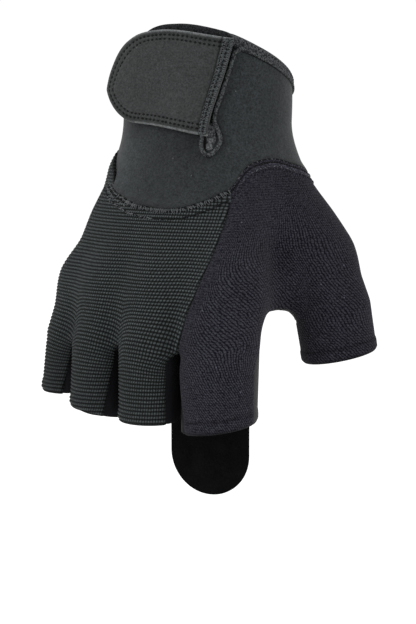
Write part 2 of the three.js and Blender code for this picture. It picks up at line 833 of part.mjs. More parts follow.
// The tongue backs the slit from inside the cuff
function slitTongue() {
  const patch = new Patch();
  const bottom = SLIT_END_HEIGHT - TONGUE.below;
  patch.grid(range(TONGUE_ROWS).map((share) => range(2, -1, 1).map((side) => {
    const across = side * TONGUE.halfWidth;
    const top = rimHeight(azimuthOf(besideSlit(across, SLIT_TOP_HEIGHT).position));
    return patch.vertex(`${share} ${side}`, () => besideSlit(across, mix(top, bottom, share)));
  })));
  const depth = BINDING_CLOTH - BINDING_RISE + LAY_GAP;
  return patch.solid(-depth, -depth - TONGUE.thickness);
}

// Value that eases from root over middle to tip
function between(three, share) {
  if (share < 0.5) return mix(three.root, three.middle, ease(share * 2));
  return mix(three.middle, three.tip, ease(share * 2 - 1));
}

// Tab sheet: its free end has round corners and stands off the cuff
function tabPoint(along, z, lift) {
  const [root, tip] = [TAB_ROOT_LINE, TAB_TIP_LINE].map((line) => lookUp(line, 'height', z, 'angle'));
  const flare = Math.max(0, along - TAB_FLARE.start) / (TAB_LENGTH - TAB_FLARE.start);
  const azimuth = mix(root, tip, along / TAB_LENGTH);
  return wristPoint(azimuth, z, lift + TAB_FLARE.rise * flare * flare);
}

// How far a round corner stands back, a distance in from the edge it rounds
function cornerDrop(radius, distance) {
  const left = Math.max(radius - distance, 0);
  return radius - Math.sqrt(radius ** 2 - left ** 2);
}

function closureTab() {
  const patch = new Patch();
  const heights = [0, 0.04, 0.12, 0.24, 0.38, 0.62, 0.76, 0.88, 0.96, 1];
  const height = TAB_TOP.tip - TAB_BOTTOM.tip;
  patch.grid(heights.map((share) => {
    const topDrop = cornerDrop(TAB_CORNER.top, share * height);
    const bottomDrop = cornerDrop(TAB_CORNER.bottom, (1 - share) * height);
    const length = TAB_LENGTH - Math.max(topDrop, bottomDrop);
    return range(TAB_STEPS, length, 0).map((along) => patch.vertex(`${share} ${along}`, () => {
      const fromRoot = along / TAB_LENGTH;
      const z = mix(between(TAB_TOP, fromRoot), between(TAB_BOTTOM, fromRoot), share);
      return tabPoint(along, z, TAB_LAY);
    }));
  }));
  return patch.solid(TAB_CLOTH, 0);
}

function tabTape() {
  const patch = new Patch();
  const lift = TAB_LAY + TAB_CLOTH + LAY_GAP;
  const across = range(2, TAPE_WIDTH, 0);
  patch.grid(range(TAPE_ROWS, TAB_TOP.root, TAB_BOTTOM.root).map((z) => across.map((along) => (
    patch.vertex(`${z} ${along}`, () => tabPoint(along, z, lift))
  ))));
  return patch.drawBack(INSET).solid(TAPE_CLOTH, 0);
}

// Raised band that follows the joint of cuff and hand
function wristSeam() {
  const places = range(2, SEAM_BAND.above, -SEAM_BAND.below).map((rise) => ({
    slitColumn: SLIT_COLUMN + DIAGONAL_SHIFT,
    height: (u, column) => seamHeight(column) + rise,
  }));
  return cuffPatch(places, LAY_GAP).solid(SEAM_BAND.rise, 0);
}

// Flap: flat across, it follows the palm down to the webs and then hangs straight
function gripFlap() {
  const patch = new Patch();
  const across = range(FLAP_STEPS.across, FLAP.width / 2, -FLAP.width / 2);
  const palmAt = (z) => Math.max(...across.map((x) => {
    const inside = new THREE.Vector3(FLAP.centre + x, axisPoint(FINGERS[MIDDLE], z).point.y, z);
    return surfacePoint(handForm, inside, heading(180), FLAP.lay).position.y;
  }));
  const palmRows = range(FLAP_STEPS.palm, FLAP.top, FLAP.hang);
  const tipRows = range(FLAP_STEPS.tip, 1, 0).map((share) => FLAP.tip + FLAP.corner * share ** 2);
  const hangingRows = range(FLAP_STEPS.hanging, FLAP.hang, tipRows[0]);
  const rows = [...palmRows, ...hangingRows.slice(1), ...tipRows.slice(1)];
  const depth = new Map(rows.map((z) => [z, palmAt(Math.max(z, FLAP.hang))]));
  patch.grid(rows.map((z, r) => {
    const inset = cornerDrop(FLAP.corner, z - FLAP.tip);
    const before = rows[Math.max(r - 1, 0)];
    const after = rows[Math.min(r + 1, rows.length - 1)];
    const slant = (depth.get(after) - depth.get(before)) / (after - before);
    return across.map((x) => patch.vertex(`${z} ${x}`, () => ({
      position: new THREE.Vector3(FLAP.centre + x * (1 - inset * 2 / FLAP.width), depth.get(z), z),
      normal: new THREE.Vector3(0, 1, -slant).normalize(),
    })));
  }));
  return patch.solid(FLAP_CLOTH, 0);
}

// Scene graph
function piece(name, geometry, colour, roughness) {
  const material = new THREE.MeshStandardMaterial({ color: colour, roughness, metalness: 0 });
  const mesh = new THREE.Mesh(geometry, material);
  mesh.name = name;
  return mesh;
}

const glove = new THREE.Group();
glove.add(
  piece('wrist_cuff', wristCuff(), 0x2b2c2e, 0.7),
  piece('cuff_binding', cuffBinding(), 0x232425, 0.85),
  piece('slit_piping', slitPiping(), 0x303234, 0.8),
  piece('slit_tongue', slitTongue(), 0x232425, 0.85),
  piece('closure_tab', closureTab(), 0x2b2c2e, 0.7),
  piece('tab_tape', tabTape(), 0x242527, 0.85),
  piece('wrist_seam', wristSeam(), 0x1c1d1f, 0.9),
  piece('grip_flap', gripFlap(), 0x0e0e10, 0.8),
  piece('back_panel', backPanel(), 0x2a2c2b, 0.9),
  piece('side_panel', sidePanel(), 0x17181c, 0.95),
  piece('palm_panel', palmPanel(), 0x141416, 0.9),
  piece('fourchette_1', gusset(0), 0x0f0f11, 0.85),
  piece('fourchette_2', gusset(1), 0x0f0f11, 0.85),
  piece('fourchette_3', gusset(MIDDLE), 0x0f0f11, 0.85),
);
export default glove;
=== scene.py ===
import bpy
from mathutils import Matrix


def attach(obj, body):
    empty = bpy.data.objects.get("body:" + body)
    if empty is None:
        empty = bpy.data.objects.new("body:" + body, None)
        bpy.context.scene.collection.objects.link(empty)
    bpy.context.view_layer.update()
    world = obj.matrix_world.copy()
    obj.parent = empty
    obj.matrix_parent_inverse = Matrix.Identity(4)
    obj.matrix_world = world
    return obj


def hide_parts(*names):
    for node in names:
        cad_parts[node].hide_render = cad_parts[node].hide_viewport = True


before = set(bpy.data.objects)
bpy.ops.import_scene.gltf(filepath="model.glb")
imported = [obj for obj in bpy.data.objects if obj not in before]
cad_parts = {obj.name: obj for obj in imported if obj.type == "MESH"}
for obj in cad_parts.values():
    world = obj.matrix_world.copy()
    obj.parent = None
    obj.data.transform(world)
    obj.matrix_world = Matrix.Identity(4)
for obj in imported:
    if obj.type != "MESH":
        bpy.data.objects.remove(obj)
"""A fingerless weightlifting glove for the right side, in its filled form.

Sizes are millimetres until a mesh is made. +Z runs up to the cuff, +X towards the thumb and -Y out
of the glove's back, with the origin in the middle of the wrist. A surface is always given as its
points and its normals.
"""
import logging
import math
from collections.abc import Callable
from dataclasses import dataclass, field
from enum import IntEnum
from functools import cache

import bpy
import numpy as np
from mathutils import Matrix, Vector
from mathutils.kdtree import KDTree

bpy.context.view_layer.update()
MM = 0.001
LOG = logging.getLogger("glove")

Array = np.ndarray
Number = Array | float
Surface = tuple[Array, Array]
Piece = bpy.types.Object
Colour = tuple[float, float, float]
Station = tuple[float, float, float, float]
Form = Callable[[Array, Array | None], Array]


# The filled form


class Digit(IntEnum):
    """The glove's fingers, in their order over its back."""

    PINKY, RING, MIDDLE, INDEX, THUMB = range(5)


@dataclass(frozen=True)
class Finger:
    """One finger of the glove, whose axis runs from cuff over root, knuckle and web to tip.

    Each station is a place and a radius. dorsal and palmar are the angles at which the back and
    palm panels begin and end. By the web, lean turns the back panel's ends, and swing takes the
    ends at the thumb's web into the crotch.
    """

    stations: tuple[Station, ...]
    hem: tuple[float, float]
    dorsal: tuple[float, float]
    palmar: tuple[float, float]
    lean: tuple[float, float] = (0, 0)
    swing: tuple[float, float] = (0, 0)

    def hem_height(self, angle: Array) -> Array:
        """Height of the sleeve's hem at directions: it rises to one side of HEM_MIDDLE."""
        return self.hem[0] + self.hem[1] * np.sin(np.radians(angle - HEM_MIDDLE))

    def axis(self, z: Array) -> tuple[Array, Array]:
        """Find the axis at some heights.

        Args:
            z: heights.

        Returns:
            Points of the axis and the finger's radius there.
        """
        rows = np.array(self.stations)
        k = np.minimum(np.searchsorted(-rows[1:, 2], -z, side="left"), len(rows) - 2)
        share = (z - rows[k, 2]) / (rows[k + 1, 2] - rows[k, 2])
        found = rows[k] + (rows[k + 1] - rows[k]) * share[:, None]
        return found[:, :3], found[:, 3]


FINGERS = (
    Finger(
        (
            (-11, 0, 50, 0), (-13, 1, -10, 18.4), (-36.5, -29, -67, 13), (-41.5, -36, -88, 11.7),
            (-44.6, -39, -127, 11.5),
        ),
        (-110, 0), (-90, 12), (112, 270), lean=(0, 20),
    ),
    Finger(
        ((-5, 0, 50, 0), (-5, -1, -10, 20), (-20, -38, -67, 13.8), (-23.5, -45, -89.5, 12.2), (-24, -49, -134, 11.8)),
        (-115.3, -2.2), (-66, 34), (124, 210), lean=(0, 26),
    ),
    Finger(
        ((0, 0, 50, 0), (4, -2, -10, 20), (2, -41, -67, 14.2), (0.5, -49, -90, 13), (2, -53, -136, 12.6)),
        (-116, 0), (-54, 54), (136, 220),
    ),
    Finger(
        ((5, 0, 50, 0), (12, -1, -10, 20), (27, -37, -67, 15), (28, -45, -88, 15.5), (29, -49, -136, 14.9)),
        (-117, 2), (-30, 90), (90, 232), lean=(-40, 0), swing=(0, 59),
    ),
    Finger(
        ((11, 0, 50, 0), (11.5, 4, -16, 14), (50, 0, -57, 15), (58.8, -5, -75, 15.3), (68, -8, -119, 14.6)),
        (-92.8, 3), (-90, 110), (110, 270), swing=(42, 0),
    ),
)

FOREARM_CONES = (
    (((13.2, 0, 60, 25), (11.5, 0, 8, 23.8)), ((11.5, 0, 8, 23.8), (11, 0, -12, 23))),
    (((-12, 0, 60, 24), (-10.6, 0, 8, 23)), ((-10.6, 0, 8, 23), (-10, 0, -12, 22.4))),
)
PAD_CONES = (((16, 11, -20, 14.5), (38, 6, -46, 14)), ((-15, 9, -16, 16), (-28.4, -9, -46, 14)))
THUMB_WEB_CONE = ((29.7, -27.3, -67.6, 6.2), (52.7, -3.3, -66.6, 6.2))
FOREARM_BLEND = 14
CHAIN_BLEND = 5
PALM_BLEND = 12
FINGER_BLEND = 7
THUMB_BLEND = 14
THUMB_WEB_BLEND = 11
SLEEVE_CLEARANCE = 0.3
SLEEVE_FLAT_BLEND = 2

# Ring columns run over the back from the little finger's side to the thumb's (0 to 5), then back
# over the palm (5 to 10). A guide lies between the axes of two fingers and points at one angle by
# the wrist and another by the webs: from, to, angle, low angle. Two guides lie in each column, and
# the one at the thumb's web over the palm turns later than the others.
RING = 10
THUMB_WEB = (4, 6)
FINGER_BELOW = np.array([*Digit, *reversed(Digit)])
EDGES = np.array(
    [(finger.dorsal, finger.lean, finger.swing) for finger in FINGERS]
    + [(finger.palmar, (0, 0), finger.swing[::-1]) for finger in FINGERS[::-1]]
)
GUIDES = np.array((
    (0, 0, -90, -90), (0, 0, -28, -28), (0, 1, -12, -12), (1, 1, -4, -4), (1, 2, 0, 0), (2, 2, 2, 2),
    (2, 3, 6, 6), (3, 3, 16, 16), (3, 4, 42, 42), (4, 4, 62, 62), (4, 4, 110, 110), (4, 4, 146, 178),
    (4, 3, 168, 222), (3, 3, 177, 192), (3, 2, 180, 188), (2, 2, 180, 180), (2, 1, 180, 171),
    (1, 1, 182, 168), (1, 0, 186, 155), (0, 0, 208, 198), (0, 0, 270, 270),
))
GUIDE_TURN = (-8, -58)
GUIDE_DELAY = np.where(np.arange(len(GUIDES)) == 2 * THUMB_WEB[1], 3, 1)
RIM = (
    (-180, 7), (-135, 15), (-90, 23.5), (-50, 29.5), (-25, 36), (0, 37.2), (22, 36.3), (45, 33.2),
    (66, 27.6), (88, 21.2), (112, 14.4), (145, 8), (180, 7),
)
SEAM = (
    (0, -9.5), (0.35, -23), (0.7, -28), (1.1, -31), (1.8, -34.2), (2.4, -34), (2.8, -30.2), (3, -26.8),
    (3.4, -18.8), (3.8, -16), (4.4, -15.6), (4.8, -19.2), (5.3, -25), (6, -28), (8, -26), (9.5, -16), (10, -9.5),
)
WEB = (
    (0, -85), (1, -87), (2, -85.8), (3, -87.6), (4, -67.6), (5, -71), (6, -67.6), (7, -89), (8, -89), (9, -87),
    (10, -85),
)
LEAN_REACH = 1.6
DIAGONAL_SHIFT = 0.62
FAN_START, FAN_FULL, FAN_FADE = 0.55, 0.33, 0.5
DIP_REACH, DIP_START, DIP_POWER = 0.25, 0.7, 1.3
CROTCH_REACH = 0.6
SLEEVE_REACH = ((3.3, 3.9, 6.1, 6.7), (0.25, 0.5, 0.5, 0.28))
HEM_MIDDLE = 26
RAY_STEPS = 90
RAY_TOLERANCE = 1e-4
NORMAL_STEP = 0.05
DOWN = np.array((0.0, 0.0, -1.0))

# The cuff's slit
SLIT_COLUMN = 3
SLIT_TOP = 28.1
SLIT_END = -12.5
SLIT_FOOT = dict(SEAM)[SLIT_COLUMN]
SLIT_LINE = (
    (-13.6, 28.2), (-8, 30.1), (-3.5, 28.6), (2.3, 29.8), (11.2, 35.2), (19.4, 40.1), (28.2, 44.5), (38, 49),
)
SLIT_ROWS = (
    (-12.5, 0), (-11.8, 1.5), (-9.5, 2.8), (-5.5, 2.8), (-3, 1.6), (-1, 0.9), (5, 0.7), (28.1, 0.7), (40, 0.7),
)
BINDING_WIDTH = 3.4


def mix(a: Number, b: Number, share: Number) -> Number:
    """Blend from a to b by a share."""
    return a + (b - a) * share


def ease(x: Number) -> Number:
    """Smooth step of a share between 0 and 1."""
    t = np.clip(x, 0.0, 1.0)
    return t * t * (3 - 2 * t)


def bell(x: Number, width: float) -> Number:
    """Soft bump of height 1 about 0."""
    return np.exp(-((x / width) ** 2))


def unit(vectors: Array) -> Array:
    """Scale vectors to length 1."""
    return vectors / np.maximum(np.linalg.norm(vectors, axis=-1, keepdims=True), 1e-12)


def heading(angle: Array) -> Array:
    """Level directions at angles from the glove's back towards the thumb, in degrees."""
    turn = np.radians(angle)
    return np.stack((np.sin(turn), -np.cos(turn), np.zeros_like(turn)), axis=-1)


def look_up(table: tuple | Array, x: Array) -> Array:
    """Read a table of two columns with smooth curves between its rows.

    Args:
        table: rows of a key and a value, in rising order.
        x: keys to read at.

    Returns:
        The values at x.
    """
    keys, values = np.array(table, dtype=float).T
    last = len(keys) - 1
    row = np.clip(np.searchsorted(keys, x, side="left") - 1, 0, last - 1)
    before, after = np.maximum(row - 1, 0), np.minimum(row + 2, last)
    span = keys[row + 1] - keys[row]
    t = np.clip((x - keys[row]) / span, 0, 1)
    slope_in = (values[row + 1] - values[before]) / (keys[row + 1] - keys[before]) * span
    slope_out = (values[after] - values[row]) / (keys[after] - keys[row]) * span
    return (
        values[row] * (2 * t**3 - 3 * t**2 + 1) + slope_in * (t**3 - 2 * t**2 + t)
        + values[row + 1] * (3 * t**2 - 2 * t**3) + slope_out * (t**3 - t**2)
    )


def curve(rows: Array, at: Array) -> Array:
    """Read each column of a table at row numbers, with smooth curves between its rows."""
    return np.stack([look_up(np.stack((np.arange(len(rows)), column), axis=1), at) for column in rows.T], axis=1)


def sample(x: Array, keys: Array, values: Array) -> Array:
    """Read each column of a table at keys, straight between its rows."""
    return np.stack([np.interp(x, keys, column) for column in values.T], axis=1)


def lengths(points: Array) -> Array:
    """Distance along a path at each of its points."""
    return np.concatenate(([0], np.cumsum(np.linalg.norm(np.diff(points, axis=0), axis=1))))


def seam_height(column: Array) -> Array:
    """Height of the wrist seam by ring column."""
    return look_up(SEAM, np.mod(column, RING))


def web_height(column: Array) -> Array:
    """Height of the finger webs by ring column."""
    return look_up(WEB, np.mod(column, RING))


def cone_distance(p: Array, a: Station, b: Station) -> Array:
    """Measure the distance from points to a round cone.

    Args:
        p: the points.
        a: the cone's first station.
        b: its last station.

    Returns:
        Distances, below 0 inside.
    """
    start, end = np.array(a, dtype=float), np.array(b, dtype=float)
    axis, offset = end[:3] - start[:3], p - start[:3]
    share = np.clip(offset @ axis / (axis @ axis), 0, 1)
    return np.linalg.norm(offset - share[:, None] * axis, axis=1) - mix(start[3], end[3], share)


def soft_min(a: Array, b: Array, width: float) -> Array:
    """Least of two distances, blended within a width."""
    h = np.maximum(width - np.abs(a - b), 0) / width
    return np.minimum(a, b) - h * h * width * 0.25


def glove_form(p: Array, _index: Array | None = None) -> Array:
    """Measure the distance from points to the outside of the filled glove, down to the webs.

    Args:
        p: the points.
        _index: their numbers, which a Form is given and this one doesn't need.

    Returns:
        Distances, below 0 inside.
    """
    first, second = (
        soft_min(cone_distance(p, *upper), cone_distance(p, *lower), CHAIN_BLEND) for upper, lower in FOREARM_CONES
    )
    found = soft_min(first, second, FOREARM_BLEND)
    four = [finger.stations for finger in FINGERS[:Digit.THUMB]]
    for cones, blend in (
        ([at[1:3] for at in four], PALM_BLEND), (PAD_CONES, PALM_BLEND), ([at[2:4] for at in four], FINGER_BLEND),
    ):
        for cone in cones:
            found = soft_min(found, cone_distance(p, *cone), blend)
    _, root, knuckle, web, tip = FINGERS[Digit.THUMB].stations
    top = soft_min(cone_distance(p, root, knuckle), cone_distance(p, knuckle, web), CHAIN_BLEND)
    found = soft_min(found, np.minimum(top, cone_distance(p, web, tip)), THUMB_BLEND)
    return soft_min(found, cone_distance(p, *THUMB_WEB_CONE), THUMB_WEB_BLEND)


def sleeve_form(number: int) -> Form:
    """Make the distance function of one finger's sleeve, flattened against its neighbours.

    Args:
        number: the finger's place in FINGERS.

    Returns:
        A function from points to distances.
    """
    finger = FINGERS[number]
    beside = [n for n in (number - 1, number + 1) if number < Digit.THUMB and Digit.PINKY <= n <= Digit.INDEX]

    def distance(p: Array, _index: Array | None = None) -> Array:
        """Measure the distance from points to the sleeve.

        Args:
            p: the points.
            _index: their numbers, which it doesn't need.

        Returns:
            Distances, below 0 inside.
        """
        found = np.minimum(*(cone_distance(p, *finger.stations[k:k + 2]) for k in (2, 3)))
        own, own_radius = finger.axis(p[:, 2])
        for n in beside:
            other, other_radius = FINGERS[n].axis(p[:, 2])
            across = other - own
            half = np.linalg.norm(across, axis=1) * own_radius / (own_radius + other_radius)
            beyond = ((p - own) * unit(across)).sum(axis=1) - half + SLEEVE_CLEARANCE
            found = -soft_min(-found, -beyond, SLEEVE_FLAT_BLEND)
        return found

    return distance


def cast(form: Form, origin: Array, direction: Array, lift: Number = 0.0) -> Surface:
    """Follow rays from inside a form to its surface.

    Args:
        form: distance function of points and their numbers.
        origin: where the rays start.
        direction: their directions.
        lift: height over the surface at which they stop.

    Returns:
        The points found and the form's normals there.
    """
    position = np.array(origin, dtype=float)
    heights = np.broadcast_to(lift, (len(position),))
    active = every = np.arange(len(position))
    for _ in range(RAY_STEPS):
        distance = form(position[active], active) - heights[active]
        position[active] -= distance[:, None] * direction[active]
        active = active[np.abs(distance) > RAY_TOLERANCE]
        if not len(active):
            break
    steps = np.eye(3) * NORMAL_STEP
    slopes = [form(position + step, every) - form(position - step, every) for step in steps]
    return position, unit(np.stack(slopes, axis=1))


def finger_axes(z: Array) -> Array:
    """Points of every finger's axis at heights, by height and finger."""
    return np.stack([finger.axis(z)[0] for finger in FINGERS], axis=1)


def guide_at(column: Array, z: Array) -> tuple[Array, Array]:
    """Find the rays that meet the form's surface.

    Args:
        column: ring columns.
        z: heights.

    Returns:
        Where the rays start and their angles.
    """
    u = np.mod(column, RING)
    k = np.minimum(np.floor(u * 2).astype(int), len(GUIDES) - 2)
    axes, every = finger_axes(z), np.arange(len(u))
    low = ease((z - GUIDE_TURN[0]) / (GUIDE_TURN[1] - GUIDE_TURN[0]))
    origins, angles = [], []
    for at in (k, k + 1):
        first, second, angle, low_angle = GUIDES[at].T
        origins.append((axes[every, first] + axes[every, second]) / 2)
        angles.append(mix(angle, low_angle, low ** GUIDE_DELAY[at]))
    share = u * 2 - k
    return mix(*origins, share[:, None]), mix(*angles, share)


def ring_point(column: Array, z: Array, lift: Number = 0.0) -> Surface:
    """Surface of the filled form at ring columns and heights, raised by a lift."""
    origin, angle = guide_at(column, z)
    return cast(glove_form, origin, heading(angle), lift)


def lean_share(column: Array) -> Array:
    """Share of the slit's lean that a ring column takes."""
    return np.maximum(0, 1 - np.abs(np.mod(column, RING) - SLIT_COLUMN) / LEAN_REACH)


def sleeve_angle(start: Array, column: Array, s: Array) -> Array:
    """Find a sleeve's direction under ring columns.

    Args:
        start: the ring column at which the sleeve's panel begins.
        column: ring columns.
        s: shares of the way from web to hem.

    Returns:
        Angles in degrees.
    """
    plain, lean, swing = EDGES[start].transpose(1, 2, 0)
    return mix(*(plain + lean * (1 - s) + swing * (1 - ease(s / CROTCH_REACH))), column - start)


def glove_ray(column: Array, s: Array) -> tuple[Array, Array]:
    """Find the rays to the form's surface, fanned out and turned down by the thumb's web.

    Args:
        column: ring columns.
        s: shares of the way from wrist seam to webs.

    Returns:
        Origins and directions.
    """
    z = mix(seam_height(column), web_height(column), s)
    origin, angle = guide_at(column + DIAGONAL_SHIFT * lean_share(column) * (1 - ease(s)), z)
    from_web = np.minimum(*(np.abs(column - web) for web in THUMB_WEB))
    low = ease((s - FAN_START) / (1 - FAN_START)) * (from_web < 1)
    start = np.clip(np.floor(column + 1e-9), 0, RING - 1).astype(int)
    fan = low * ease(from_web / FAN_FULL) * ease((1 - from_web) / FAN_FADE)
    near = np.maximum(0, 1 - from_web / DIP_REACH) * (low > 0)
    dip = math.pi / 2 * near * np.clip((s - DIP_START) / (1 - DIP_START), 0, 1) ** DIP_POWER
    level = heading(mix(angle, sleeve_angle(start, column, np.zeros(len(s))), fan))
    own = finger_axes(z)[np.arange(len(z)), FINGER_BELOW[start]]
    return mix(origin, own, fan[:, None]), level * np.cos(dip)[:, None] + DOWN * np.sin(dip)[:, None]


def sleeve_point(start: int, column: Array, s: Array) -> Surface:
    """Find a sleeve's surface.

    Args:
        start: the ring column at which the sleeve's panel begins.
        column: ring columns.
        s: shares of the way from web to hem.

    Returns:
        Points and normals.
    """
    finger, own = FINGERS[FINGER_BELOW[start]], sleeve_form(FINGER_BELOW[start])
    starts, ones = np.full(len(s), start), np.ones(len(s))
    share = ease(s / np.interp(column, *SLEEVE_REACH))
    origin, direction = glove_ray(column, ones)
    origin[:, 2] = mix(web_height(column), finger.hem_height(sleeve_angle(starts, column, ones)), s)
    origin = mix(origin, finger.axis(origin[:, 2])[0], share[:, None])

    def form(p: Array, index: Array) -> Array:
        """Distance that passes from the glove's form to the sleeve's."""
        return mix(glove_form(p), own(p), share[index])

    turned = heading(sleeve_angle(starts, column, s))
    return cast(form, origin, unit(mix(direction, turned, share[:, None])))


def wrist_point(azimuth: Array, z: Array, lift: Number = 0.0) -> Surface:
    """Surface of the cuff at azimuths and heights, raised by a lift."""
    origin = np.stack((np.zeros_like(z), np.zeros_like(z), z), axis=1)
    return cast(glove_form, origin, heading(azimuth), lift)


def azimuth_of(p: Array) -> Array:
    """Direction of points round the wrist, in degrees from the glove's back."""
    return np.degrees(np.arctan2(p[:, 0], -p[:, 1]))


def beside_slit(offset: Array, z: Array, lift: Number = 0.0) -> Surface:
    """Find the cuff's surface beside the slit.

    Args:
        offset: distances round the wrist from the slit's middle line.
        z: heights.
        lift: height over the surface.

    Returns:
        Points and normals.
    """
    azimuth = look_up(SLIT_LINE, z)
    middle, _ = wrist_point(azimuth, z)
    return wrist_point(azimuth + np.degrees(offset / np.hypot(middle[:, 0], middle[:, 1])), z, lift)


class Wrist:
    """The cuff's surface by ring column, with its columns leaning along the slit."""

    RIM_MARKS = 161
    RIM_HEIGHT = 25.0
    SLIT_MARKS = 28
    SLIT_HIGH = 40
    HALVINGS = 24

    def __init__(self) -> None:
        """Tabulate the rim's height by column and the slit's column by height."""
        self.columns = np.linspace(0, RING, self.RIM_MARKS)
        self.rims = look_up(RIM, azimuth_of(ring_point(self.columns, np.full(self.RIM_MARKS, self.RIM_HEIGHT))[0]))
        self.heights = np.linspace(SLIT_END, self.SLIT_HIGH, self.SLIT_MARKS)
        low, high = np.full(self.SLIT_MARKS, SLIT_COLUMN - 1.0), np.full(self.SLIT_MARKS, SLIT_COLUMN + 2.0)
        for _ in range(self.HALVINGS):
            middle = (low + high) / 2
            before = azimuth_of(ring_point(middle, self.heights)[0]) < look_up(SLIT_LINE, self.heights)
            low, high = np.where(before, middle, low), np.where(before, high, middle)
        self.slit_columns = (low + high) / 2

    def point(self, column: Array, slit_height: Array, rise: float = 0.0, lift: float = 0.0) -> Surface:
        """Find points of the cuff on rows that meet the slit at given heights.

        Args:
            column: ring columns, from 3 at the slit to 13.
            slit_height: height at which each point's row meets the slit.
            rise: height of the points over their rows.
            lift: height over the form.

        Returns:
            Points and normals.
        """
        s = (SLIT_TOP - slit_height) / (SLIT_TOP - SLIT_FOOT)
        on_slit = np.interp(slit_height, self.heights, self.slit_columns)
        below = ease((SLIT_END - slit_height) / (SLIT_END - SLIT_FOOT))
        slit_column = mix(on_slit, SLIT_COLUMN + DIAGONAL_SHIFT, below)
        u = column + (slit_column - SLIT_COLUMN) * lean_share(column)
        rim = np.interp(np.mod(u, RING), self.columns, self.rims)
        return ring_point(u, mix(rim - BINDING_WIDTH, seam_height(column), s) + rise, lift)


# Meshes

EDGE_REACH = 6.0
FAR = 99.0
RIM_BANDS = 3


def clear_selection() -> None:
    """Leave the operators nothing but what is picked next."""
    bpy.ops.object.select_all(action="DESELECT")


def quads_of(ids: Array) -> Array:
    """Faces of a grid of vertex numbers, rows running down and columns to the thumb's side."""
    return np.stack((ids[:-1, :-1], ids[1:, :-1], ids[1:, 1:], ids[:-1, 1:]), axis=-1).reshape(-1, 4)


def grid_quads(shape: tuple[int, ...]) -> Array:
    """Faces of a grid of points with so many rows and columns."""
    return quads_of(np.arange(shape[0] * shape[1]).reshape(shape[:2]))


def net(down: Array, across: Array) -> tuple[Array, Array, Array]:
    """Lay out a grid of points.

    Args:
        down: a value for each row.
        across: a value for each column.

    Returns:
        Both values of each point, and the faces between the points.
    """
    columns, rows = np.meshgrid(across, down)
    return rows.ravel(), columns.ravel(), grid_quads(rows.shape)


def nearest(points: Array, others: Array, limit: float) -> Array:
    """Measure how far points lie from the nearest of some others.

    Args:
        points: where to measure.
        others: what to measure to.
        limit: the greatest distance given.

    Returns:
        The distances.
    """
    tree = KDTree(len(others))
    for k, other in enumerate(others.tolist()):
        tree.insert(other, k)
    tree.balance()
    return np.minimum([tree.find(point)[2] for point in points.tolist()], limit)


def make_object(
    name: str, points: Array, faces: list, flat: Array | None = None, tone: Array | None = None, angle: float = 50.0,
) -> Piece:
    """Make a smooth-shaded mesh object from millimetres.

    Args:
        name: the piece's name.
        points: vertices in millimetres.
        faces: vertex numbers of each face.
        flat: where each vertex lies in the cloth, for the UV map.
        tone: how bright the cloth is at each vertex, 1 where plain, with wear and painted light and shade.
        angle: edges sharper than this stay sharp, in degrees.

    Returns:
        The new object.
    """
    mesh = bpy.data.meshes.new(name)
    mesh.from_pydata((points * MM).tolist(), [], faces)
    loops = np.zeros(len(mesh.loops), dtype=np.int32)
    mesh.loops.foreach_get("vertex_index", loops)
    if flat is not None:
        mesh.uv_layers.new(name="cloth").uv.foreach_set("vector", flat[loops].astype(np.float32).ravel())
    values = np.ones(len(points)) if tone is None else tone
    mesh.attributes.new("tone", "FLOAT", "POINT").data.foreach_set("value", values.astype(np.float32))
    mesh.update()
    made = bpy.data.objects.new(name, mesh)
    bpy.context.scene.collection.objects.link(made)
    clear_selection()
    made.select_set(True)
    bpy.context.view_layer.objects.active = made
    bpy.ops.object.shade_smooth_by_angle(angle=math.radians(angle))
    return made


